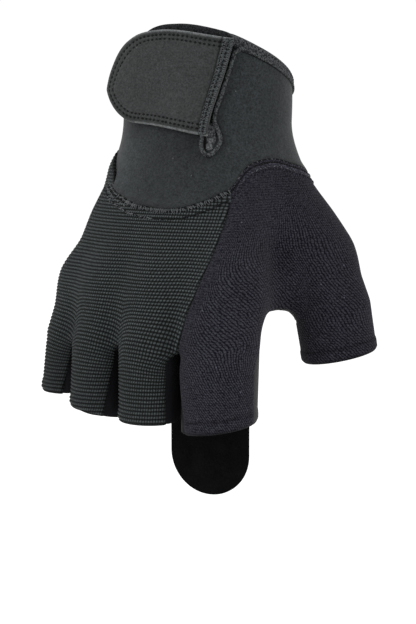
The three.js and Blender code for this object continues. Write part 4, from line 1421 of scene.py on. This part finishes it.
@dataclass
class Cuff:
    """Neoprene cuff with its bound rim, slit, tongue and piping."""

    steps: int = 26
    rim_rows: int = 24
    rim_reach: float = 4.0
    open_rows: int = 50
    closed_rows: int = 18
    foot_rows: int = 9
    foot_reach: float = 3.0
    foot_rise: float = 0.55
    spread: float = 9.0
    cloth: float = 3.0
    binding_lap: float = 1.2
    binding_rise: float = 0.5
    binding_depth: float = 3.6
    binding_fold: float = 1.6
    tongue_drop: float = 0.35
    tongue_half: float = 4.2
    tongue_rib: float = 1.1
    piping_radius: float = 0.8
    piping_lift: float = 0.95
    piping_route: tuple = (
        (1.75, 25.0), (1.75, 18.2), (1.8, 9.3), (1.9, -0.4), (2.8, -2.9), (3.4, -6.2), (2.9, -10.4), (0.9, -13.6),
        (-1.5, -13.4), (-3.4, -10.8), (-3.6, -7.8), (-3, -5.6),
    )
    rim_piping_start: tuple = ((1.75, 23.4, 0.9), (1.8, 24.8, 0.9), (2.15, 26.0, 0.8), (3.1, 26.7, 0.7))
    wrist: Wrist = field(default_factory=Wrist)

    @property
    def columns(self) -> Array:
        """Ring columns from one side of the slit round to the other."""
        return np.linspace(SLIT_COLUMN, SLIT_COLUMN + RING, RING * self.steps + 1)

    def grid(self, slit_heights: Array, rise: float = 0.0, lift: float = 0.0) -> Surface:
        """Lay out rows round the wrist, spread apart at the slit.

        Args:
            slit_heights: heights at which the rows meet the slit.
            rise: height of the points over their rows.
            lift: height over the form.

        Returns:
            Points and normals by row and column.
        """
        height, column, _ = net(slit_heights, self.columns)
        both = np.concatenate(self.wrist.point(column, height, rise, lift), axis=1)
        both = both.reshape(len(slit_heights), -1, 6)
        halves = np.interp(slit_heights, *np.array(SLIT_ROWS, dtype=float).T)
        for row in np.flatnonzero(slit_heights > SLIT_END + 1e-6):
            at, half = lengths(both[row, :, :3]), halves[row]
            near = np.minimum(at, at[-1] - at)
            moved = np.where(near < self.spread, half + near * (self.spread - half) / self.spread, near)
            both[row] = sample(np.where(at < at[-1] / 2, moved, at[-1] - moved), at, both[row])
        return both[..., :3], unit(both[..., 3:])

    def line(self, slit_height: float, rise: float = 0.0, lift: float = 0.0) -> Surface:
        """One row of the grid."""
        points, normals = self.grid(np.array([slit_height]), rise, lift)
        return points[0], normals[0]

    def body(self) -> Piece:
        """Make the neoprene cuff.

        Returns:
            The new piece.
        """
        rim, foot = SLIT_TOP - self.rim_reach, SLIT_FOOT + self.foot_reach
        stops = (
            (SLIT_TOP + 0.6, rim, self.rim_rows), (rim, SLIT_END, self.open_rows),
            (SLIT_END, foot, self.closed_rows), (foot, SLIT_FOOT, self.foot_rows),
        )
        heights = np.concatenate([np.linspace(*stop)[int(k > 0):] for k, stop in enumerate(stops)])
        last_open = self.rim_rows + self.open_rows - 2
        points, normals = self.grid(heights)
        count, across = points.shape[:2]
        ids = np.arange(count * across).reshape(count, across)
        ids[last_open:, -1] = ids[last_open:, 0]
        used, index = np.unique(quads_of(ids), return_inverse=True)
        sheet = Sheet(points.reshape(-1, 3)[used], normals.reshape(-1, 3)[used], index.reshape(-1, 4))
        edge, row = sheet.from_edge(), used // across
        column = self.columns[used % across]
        above_foot = np.where(row > last_open, np.linalg.norm(sheet.points - points[-1][used % across], axis=1), FAR)
        sheet.height = self.foot_rise * (1 - ease(above_foot / 5.0))
        sheet.height -= 0.45 * bell(np.where(above_foot < self.foot_reach, 9, edge), 0.8)
        below_rim = SLIT_TOP - heights[row]
        beside = np.minimum(column - SLIT_COLUMN, SLIT_COLUMN + RING - column)
        # Painted shade: darker along the free edges, a painted shadow line under the rim piping, the painted light of
        # shade() and painted shade in the slit's gap.
        sheet.tone = (1 - 0.25 * bell(edge, 0.8)) * (1 - 0.9 * bell(below_rim - 2.1, 0.4))
        sheet.tone *= self.shade(column, sheet.points[:, 2])
        sheet.tone *= 1 - 0.8 * ease((0.1 - beside) / 0.06) * (row < last_open)
        return dress(sheet.solid("wrist_cuff_neoprene", self.cloth), NEOPRENE, "neoprene", "wrist_cuff")

    @staticmethod
    def shade(column: Array, z: Array) -> Array:
        """Find the painted light on the cuff: highlights, a shadow under the tab and shade round the palm.

        Args:
            column: ring columns, from 3 at the slit to 13.
            z: heights.

        Returns:
            Brightness, 1 where plain.
        """
        # Painted highlights, low on the little finger's side and beside the slit.
        wear_and_painted_highlight = 0.5 * bell(column - 10.65, 0.5) * ease((-z - 4) / 10) + 0.16 * bell(column - 3.8, 0.8)
        # Painted shadow under the closure tab.
        painted_tab_shadow = 0.14 * bell(column - 12.1, 0.7) * ease((z + 24) / 10)
        painted_tab_shadow += 0.3 * bell(column - 12.6, 0.3) * ease((z + 20) / 12)
        # Painted shade from the thumb's side round over the palm.
        return 1 + wear_and_painted_highlight - painted_tab_shadow - 0.2 * ease((column - 4.7) / 0.5) * (column < 8)

    def binding(self) -> list[Piece]:
        """Make the bound rim, folded over the cuff's top, with its stitches and needle holes.

        Returns:
            Its three pieces.
        """
        outer, depth, fold = self.binding_rise, self.binding_depth, self.binding_fold
        base, up = self.line(SLIT_TOP, BINDING_WIDTH - fold)
        low, low_up = self.line(SLIT_TOP - self.binding_lap)
        inner = up * (outer - depth)
        lines = [low + low_up * outer * 0.2, mix(low, base, 0.4) + mix(low_up, up, 0.4) * outer, base + up * outer]
        for turn in np.linspace(0, math.pi, 13)[1:-1]:
            side = abs(math.sin(turn)) ** 0.45
            height = math.copysign(abs(math.cos(turn)) ** 0.6, math.cos(turn))
            lines.append(base - up * (depth / 2 - outer) + up * (depth / 2 * height) - DOWN * fold * side)
        lines += [base + inner, mix(low, base, 0.4) + inner, low + low_up * (outer * 0.8 - depth)]
        grid = np.array(lines)
        ids = np.arange(grid.shape[0] * grid.shape[1]).reshape(grid.shape[:2])
        faces = quads_of(np.vstack((ids, ids[:1]))[::-1]).tolist() + [ids[:, 0].tolist()[::-1], ids[:, -1].tolist()]
        # Painted shadow: the binding is darker from the little finger's side across the back to the slit.
        tone = np.tile(1 - 0.72 * ease((self.columns - 9.2) / 1.2), len(lines))
        band = make_object("cuff_binding_band", grid.reshape(-1, 3), faces, tone=tone, angle=60)
        face, face_up = mix(low, base, 0.5) + mix(low_up, up, 0.5) * outer, unit(mix(low_up, up, 0.5))
        reach = int(len(face) * 0.6)
        thread, holes = Thread(41), Thread(42)
        for side, turn in ((-1.3, 62.0), (0.8, 58.0)):
            stitches = Stitches(0.95, 1.3, 0.36, 0.34, turn, 0.1, True, 0.14)
            thread.sew(face[:reach] - face_up[:reach] * 0.02, face_up[:reach], stitches, side)
            holes.sew(face[:reach], face_up[:reach], Stitches(1.75, 0.7, 0.5, 0.34, 0.0, 0.2, False, 0.2), side)
        sewn = thread.cut("cuff_binding_stitches", GREY_THREAD, "binding")
        pricked = holes.cut("cuff_binding_holes", DARK_THREAD, "binding")
        return [dress(band, BINDING, "binding", "cuff_binding"), sewn, pricked]

    def rim_piping(self) -> Piece:
        """Make the piping that runs on from the slit under the bound rim.

        Returns:
            The new piece.
        """
        beside, height, lift = np.array(self.rim_piping_start).T
        corner, corner_up = beside_slit(beside, height, lift)
        low, low_up = self.line(SLIT_TOP - self.binding_lap, 0.0, 0.4)
        reach = slice(7, int(len(low) * 0.3), 2)
        points, normals = np.concatenate((corner, low[reach])), np.concatenate((corner_up, low_up[reach]))
        fine = np.linspace(0, len(points) - 1, len(points) * 8)
        up = unit(sample(fine, np.arange(len(points)), normals))
        radius = mix(self.piping_radius, 0.5, ease(fine / 12.0))
        return dress(tube("rim_piping_cord", curve(points, fine), up, radius, 10, 0.7, 0.06), PIPING, "piping")

    def piping(self) -> Piece:
        """Make the overlocked piping round the slit's far side and eye.

        Returns:
            The new piece.
        """
        route = np.array(self.piping_route)
        beside, heights = curve(route, np.linspace(0, len(route) - 1, 260)).T
        points, normals = beside_slit(beside, heights, self.piping_lift)
        made = tube("slit_piping_cord", points, normals, np.full(260, self.piping_radius), 12, 0.7, 0.09)
        return dress(made, PIPING, "piping", "slit_piping")

    def tongue(self) -> Piece:
        """Make the elastic tongue behind the slit, which swells in the slit's eye.

        Returns:
            The new piece.
        """
        share, across, quads = net(np.linspace(0, 1, 60), np.linspace(-self.tongue_half, self.tongue_half, 15))
        top, _ = beside_slit(across, np.full(across.size, SLIT_TOP))
        z = mix(look_up(RIM, azimuth_of(top)) - self.tongue_drop, SLIT_END - 5, share)
        in_eye = ease((z + 13.6) / 1.4) * ease((-0.8 - z) / 1.4)
        bulge = 3.2 * in_eye * np.exp(-(((across - 0.4) / 2.9) ** 6))
        points, normals = beside_slit(across, z, bulge - (self.binding_depth - self.binding_rise + 0.35))
        sheet = Sheet(points, normals, quads, height=0.25 * np.abs(np.sin(math.pi * z / self.tongue_rib)))
        return dress(sheet.solid("slit_tongue_elastic", 1.2, 0.3), TONGUE, "tongue_cloth", "slit_tongue")

    def build(self) -> None:
        """Make the cuff's pieces."""
        body, tongue = self.body(), self.tongue()
        trim = [*self.binding(), self.piping(), self.rim_piping()]


def corner_drop(radius: float, distance: Array) -> Array:
    """How far a round corner stands back, a distance in from the edge it rounds."""
    return radius - np.sqrt(radius**2 - np.maximum(radius - distance, 0) ** 2)


@dataclass
class ClosureTab:
    """Neoprene tab over the back of the cuff, with the tape that joins its root to the slit.

    top and bottom are its edges' heights at root, middle and tip.
    """

    length: float = 57.5
    root_line: tuple = ((-8, 26.6), (-3.5, 26.7), (2.3, 29), (11.2, 34.3), (19.4, 39.1), (28.2, 43.5), (34, 46))
    tip_line: tuple = ((-2, -53.2), (15, -54.6), (33, -68.8))
    lay: float = 0.85
    top: tuple[float, float, float] = (30.8, 34.6, 29.7)
    bottom: tuple[float, float, float] = (-6.0, -2.4, -0.4)
    corners: tuple[float, float] = (21.6, 14.6)
    flare: tuple[float, float] = (32.0, 6.0)
    cloth: float = 2.4
    tape_width: float = 3.4
    stitch_rows: tuple[float, float] = (1.75, 3.4)

    def point(self, along: Array, z: Array, lift: Number) -> Surface:
        """Find the surface of the tab.

        Args:
            along: distances from its root.
            z: heights.
            lift: height over the cuff.

        Returns:
            Points and normals.
        """
        flare = np.maximum(0, along - self.flare[0]) / (self.length - self.flare[0])
        azimuth = mix(look_up(self.root_line, z), look_up(self.tip_line, z), along / self.length)
        return wrist_point(azimuth, z, lift + self.flare[1] * flare**2)

    def flat_grid(self, rows: int, steps: int) -> Array:
        """Place points in the flat tab.

        Args:
            rows: faces from top to bottom.
            steps: faces along it.

        Returns:
            Distances from the root and heights, by row and column.
        """
        height = self.top[2] - self.bottom[2]
        share = (1 - np.cos(np.linspace(0, math.pi, rows + 1))) / 2
        drop = np.maximum(*map(corner_drop, self.corners, (share * height, (1 - share) * height)))
        along = (self.length - drop)[:, None] * np.linspace(1, 0, steps + 1)
        top, bottom = (
            look_up(np.stack(((0, 0.5, 1), edge), axis=1), along / self.length) for edge in (self.top, self.bottom)
        )
        return np.stack((along, mix(top, bottom, share[:, None])), axis=-1)

    def outline(self) -> Array:
        """Flat outline from the root's top round the free end to the root's bottom."""
        flat = self.flat_grid(rows=160, steps=120)
        return np.concatenate((flat[0, ::-1], flat[1:-1, 0], flat[-1]))

    def gap(self, flat: Array) -> Array:
        """Distance of flat points from the outline."""
        return nearest(*(np.pad(points, ((0, 0), (0, 1))) for points in (flat, self.outline())), FAR)

    def body(self) -> Piece:
        """Make the neoprene tab with its stitched border.

        Returns:
            The new piece.
        """
        grid = self.flat_grid(rows=84, steps=130)
        flat = grid.reshape(-1, 2)
        along, gap = flat[:, 0], self.gap(flat)
        points, normals = self.point(along, flat[:, 1], self.lay + self.cloth)
        height = 0.25 * ease(gap / 6.0) - 0.5 * bell(gap, 0.7)
        # The lighter border is partly the neoprene's own cut edge and partly a painted highlight, fading towards the
        # tip.
        tone = 1 + 3.4 * bell(gap, 0.42) * (1 - ease((along - 40) / 8)) - 0.3 * bell(gap - 0.95, 0.4)
        for row in self.stitch_rows:
            height -= 0.28 * bell(gap - row, 0.42)
            tone -= 0.16 * bell(gap - row, 0.5)
        # Painted shadow beside the tape's edge.
        tone *= 1 - 0.75 * bell(along - self.tape_width - 0.45, 0.35)
        made = Sheet(points, normals, grid_quads(grid.shape), height=height, tone=tone)
        return dress(made.solid("closure_tab_neoprene", self.cloth, 0.3), TAB_NEOPRENE_PAINTED_LIGHTER, "neoprene", "closure_tab")

    def inset_path(self, inset: float) -> Surface:
        """Find the path on the tab's face at a distance inside its outline.

        Args:
            inset: the distance.

        Returns:
            Points and normals.
        """
        outline = self.outline()
        run = unit(np.gradient(outline, axis=0))
        inward = np.stack((run[:, 1], -run[:, 0]), axis=1)
        flip = np.sign((((self.length / 2, 15.0) - outline) * inward).sum(axis=1, keepdims=True))
        moved = outline + inward * flip * inset
        moved = moved[(moved[:, 0] > self.tape_width) & (moved[:, 0] < self.length)]
        moved = moved[self.gap(moved) > inset * 0.93]
        return self.point(moved[:, 0], moved[:, 1], self.lay + self.cloth)

    def trim(self) -> list[Piece]:
        """Make the border's stitches and the root's woven tape with its ladder and needle holes.

        Returns:
            The four pieces.
        """
        border, ladder, holes = Thread(11), Thread(12), Thread(13)
        for row in self.stitch_rows:
            border.sew(*self.inset_path(row), Stitches(1.95, 1.15, 0.92, 0.34, lift=-0.02, wobble=0.1))
        made = [border.cut("closure_tab_stitches", DARK_THREAD, "neoprene")]
        top, bottom, lift = self.top[0], self.bottom[0], self.lay + self.cloth + 0.35
        z, along, quads = net(np.linspace(top, bottom, 90), np.linspace(self.tape_width, 0, 9))
        crown = 0.3 * np.sin(math.pi * along / self.tape_width)
        band = Sheet(*self.point(along, z, lift), quads, height=0.7 + crown).solid("tab_tape_band", 0.0)
        made.append(dress(band, TAPE, "tape", "tab_tape"))
        heights = np.linspace(top - 0.4, bottom + 0.4, 120)
        for thread, offset, rise, row in (
            (ladder, 0.6, 0.85, Stitches(0.78, 1.25, 0.36, 0.4, 72.0, 0.0, True, 0.08)),
            (ladder, 2.75, 0.85, Stitches(0.78, 1.25, 0.36, 0.4, 72.0, 0.0, True, 0.08)),
            (holes, 1.75, 0.92, Stitches(1.5, 0.95, 0.63, 0.36, 20.0, 0.06, False, 0.1)),
            (holes, 3.1, 0.92, Stitches(1.5, 0.95, 0.42, 0.36, 20.0, 0.06, False, 0.1)),
        ):
            thread.sew(*self.point(np.full(len(heights), offset), heights, lift + rise), row)
        made.append(ladder.cut("tab_tape_stitches", GREY_THREAD, "tape"))
        return [*made, holes.cut("tab_tape_holes", DARK_THREAD, "tape")]

    def build(self) -> None:
        """Make the tab's pieces."""
        self.body()
        self.trim()


@dataclass
class WristSeam:
    """Stitched joint of the neoprene cuff and the panels."""

    panels: GlovePanels
    above: float = 0.3
    below: float = 4.8
    steps: int = 44
    rows: int = 39
    ladder: Stitches = Stitches(0.86, 2.2, 0.38, 0.46, 78.0, 0.5, False, 0.14)
    cross: Stitches = Stitches(1.0, 1.7, 0.34, 0.4, 46.0, 0.5, True, 0.34)
    dash: Stitches = Stitches(1.35, 1.15, 0.66, 0.42, 0.0, 0.42, False, 0.14)
    light: Stitches = Stitches(2.3, 1.0, 0.34, 0.36, 12.0, 0.3, False, 0.3)
    faint: Stitches = Stitches(1.9, 0.9, 0.4, 0.36, 0.0, 0.42, False, 0.2)

    @staticmethod
    def line(columns: Array, rise: Number) -> Surface:
        """Surface of the form at a height over the seam's line."""
        return ring_point(columns + DIAGONAL_SHIFT * lean_share(columns), seam_height(columns) + rise)

    def band(self, name: str, first: int, last: int, cloth: Cloth) -> Piece:
        """Make the band of cloth under the stitches, between two ring columns.

        Args:
            name: the piece's name.
            first: its first ring column.
            last: its last ring column.
            cloth: its finish.

        Returns:
            The new piece.
        """
        columns = np.linspace(first, last, (last - first) * self.steps + 1)
        rise, column, quads = net(np.linspace(self.above, -self.below, self.rows + 1), columns)
        points, normals = self.line(column, rise)
        z = points[:, 2]
        height = 0.03 + 0.32 * ease((self.below + rise) / 0.7)
        for row, groove in ((1.75, 0.3), (4.3, 0.12 if cloth is FINE_KNIT else 0.3)):
            height -= groove * bell(rise + row, 0.32)
        flat = np.stack((column * self.panels.side_loops_per_column, z), axis=1)
        # Painted shadow along the band's top, under the neoprene's edge.
        sheet = Sheet(points, normals, quads, flat, height, 1 - 0.8 * ease((rise + 1.0) / 0.9))
        if cloth is RIB_KNIT:
            self.panels.ribbed(sheet, self.panels.rib_phase(z, column), column, self.panels.rib_relief)
        if cloth is FINE_KNIT:
            # Lighter worn patches on the knit side: the knit's own wear, no painted light.
            wear_and_painted_highlight = np.sin(column * 24.0) ** 2 * ease((column - 3.1) / 0.3) + 0.6 * ease((column - 4) / 0.1)
            sheet.tone += 0.9 * wear_and_painted_highlight * bell(rise + 2.3, 0.75)
        return dress(sheet.solid(name, 0.6, 0.4), cloth, "seam_stitching", "wrist_seam")

    def sew(self, name: str, seed: int, cloth: Cloth, rows: tuple) -> Piece:
        """Sew rows of stitches along the seam.

        Args:
            name: the piece's name.
            seed: seed of the stitches' differences.
            cloth: the thread's finish.
            rows: first and last column, height over the seam and stitches of each row.

        Returns:
            The new piece.
        """
        thread = Thread(seed)
        for first, last, rise, row in rows:
            thread.sew(*self.line(np.linspace(first, last, int((last - first) * 90)), rise), row)
        return thread.cut(name, cloth, "seam_stitching")

    def build(self) -> None:
        """Make the seam's bands and stitches."""
        self.band("wrist_seam_ribbed", 0, 3, RIB_KNIT)
        self.band("wrist_seam_knit", 3, 5, FINE_KNIT)
        self.band("wrist_seam_palm", 5, 10, PALM_SUEDE)
        self.sew("wrist_seam_ladder", 21, GREY_THREAD, (
            (1.2, 3, -1.2, self.ladder), (3, 5, -0.5, self.light), (3.2, 5, -3.4, self.light),
        ))
        self.sew("wrist_seam_crossings", 22, GREY_THREAD, (
            (0.1, 1.5, -1.0, self.cross), (0.45, 1.3, -2.7, self.cross), (0.6, 1.9, -4.3, self.cross),
            (5, 10, -1.4, self.cross),
        ))
        self.sew("wrist_seam_dashes", 23, DARK_THREAD, (
            (0.2, 5, -1.75, self.dash), (0.4, 3, -4.3, self.dash), (3, 5, -4.3, self.faint), (5, 10, -3.8, self.dash),
        ))


@dataclass
class GripFlap:
    """Flap of suede that hangs from the palm behind the middle and index fingers."""

    width: float = 34.0
    centre: float = 15.0
    top: float = -73.0
    tip: float = -150.5
    hang: float = -86.0
    corner: float = 16.9
    lay: float = 0.5
    cloth: float = 1.8

    def palm_at(self, z: float) -> float:
        """Find the palm's surface behind the flap.

        Args:
            z: the height.

        Returns:
            How far back it lies.
        """
        x = np.linspace(-self.width / 2, self.width / 2, 7) + self.centre
        inside = np.stack((x, np.full(7, FINGERS[Digit.MIDDLE].axis(np.array([z]))[0][0, 1]), np.full(7, z)), axis=1)
        return float(cast(glove_form, inside, heading(np.full(7, 180.0)), self.lay)[0][:, 1].max())

    def build(self) -> None:
        """Make the flap and the stitches along its border."""
        z = np.concatenate((
            np.linspace(self.top, self.hang, 16), np.linspace(self.hang, self.tip + self.corner, 40)[1:],
            self.tip + self.corner * np.linspace(1, 0, 26)[1:] ** 2,
        ))
        depth = np.array([self.palm_at(max(value, self.hang)) for value in z])
        inset = corner_drop(self.corner, z - self.tip)
        half = np.linspace(self.width / 2, -self.width / 2, 41)
        x = self.centre + half * (1 - inset * 2 / self.width)[:, None]
        points = np.stack(np.broadcast_arrays(x, depth[:, None], z[:, None]), axis=-1)
        slant = np.gradient(depth, z)
        normal = unit(np.stack((np.zeros_like(slant), np.ones_like(slant), -slant), axis=1))
        normals = np.broadcast_to(normal[:, None], points.shape)
        sheet = Sheet(points.reshape(-1, 3), normals.reshape(-1, 3), grid_quads(x.shape))
        edge = sheet.from_edge()
        sheet.points = sheet.points + sheet.normals * self.cloth
        sheet.height = -0.2 * bell(edge - 2.4, 0.4) - 0.3 * bell(edge, 0.6)
        made = dress(sheet.solid("grip_flap_suede", self.cloth), FLAP_SUEDE, "flap_cloth", "grip_flap")
        path, up = (np.concatenate((at[1:, 2], at[-1, 2:-2], at[:0:-1, -3])) for at in (points, normals))
        thread = Thread(31)
        thread.sew(path + up * self.cloth, up, Stitches(2.2, 1.7, 0.4, 0.4, lift=-0.05))
        trim = thread.cut("grip_flap_stitches", DARK_THREAD, "flap_cloth")


# Studio


@dataclass
class Studio:
    """Pale floor, soft white light and the camera at the photograph's angle."""

    target: tuple[float, float, float] = (9.0, -16.0, -78.0)
    azimuth: float = 26.0
    elevation: float = 8.0
    distance: float = 620.0
    lens: float = 88.0
    floor: float = -330.0
    sky: float = 1.03
    lamps: tuple = (("key", (-0.9, -1.3, 0.9), 1.0, 22), ("fill", (1.3, -0.2, 0.5), 1.2, 10))

    def camera(self) -> None:
        """Place the camera."""
        a, e = math.radians(self.azimuth), math.radians(self.elevation)
        back = Vector((math.sin(a) * math.cos(e), -math.cos(a) * math.cos(e), math.sin(e)))
        right = Vector((math.cos(a), math.sin(a), 0))
        data = bpy.data.cameras.new("camera")
        data.lens, data.sensor_fit, data.sensor_height, data.clip_start = self.lens, "VERTICAL", 36, 0.01
        eye = bpy.data.objects.new("camera", data)
        turn = Matrix((right, back.cross(right), back)).transposed().to_4x4()
        eye.matrix_world = Matrix.Translation((Vector(self.target) + back * self.distance) * MM) @ turn
        bpy.context.scene.collection.objects.link(eye)
        bpy.context.scene.camera = eye

    def lamp(self, name: str, place: tuple[float, float, float], size: float, power: float) -> None:
        """Add a large soft light that faces the glove.

        Args:
            name: its name.
            place: where it stands, in metres.
            size: its side in metres.
            power: its power in watts.
        """
        data = bpy.data.lights.new(name, "AREA")
        data.size, data.energy = size, power
        made = bpy.data.objects.new(name, data)
        made.location = place
        made.rotation_euler = (Vector(self.target) * MM - Vector(place)).to_track_quat("-Z", "Y").to_euler()
        bpy.context.scene.collection.objects.link(made)

    def build(self) -> None:
        """Make floor, world, lights and camera."""
        clear_selection()
        bpy.ops.mesh.primitive_plane_add(size=30, location=(0, 0, 0))
        floor = bpy.context.object
        floor.name = "studio_floor"
        floor.data.transform(Matrix.Translation((0, 0, self.floor * MM)))
        paper = Recipe("white_paper")
        grain = paper.noise(40.0) * 0.01 + 0.985
        white = paper.blend(grain, (0, 0, 0), (1, 1, 1))
        floor.data.materials.append(paper.finish({"Base Color": white, "Roughness": 0.9, "Specular IOR Level": 0.0}))
        world = bpy.data.worlds.new("studio_world")
        world.use_nodes = True
        world.node_tree.nodes["Background"].inputs["Color"].default_value = (1, 1, 1, 1)
        world.node_tree.nodes["Background"].inputs["Strength"].default_value = self.sky
        bpy.context.scene.world = world
        for lamp in self.lamps:
            self.lamp(*lamp)
        self.camera()
        bpy.context.scene.view_settings.view_transform = "Standard"


def main() -> None:
    """Build and dress the glove, piece by piece, in its studio."""
    logging.basicConfig(level=logging.INFO, format="%(name)s: %(message)s")
    panels = GlovePanels()
    for part in (panels, Fourchettes(), Cuff(), ClosureTab(), WristSeam(panels), GripFlap(), Studio()):
        part.build()


if __name__ == "__main__":
    main()
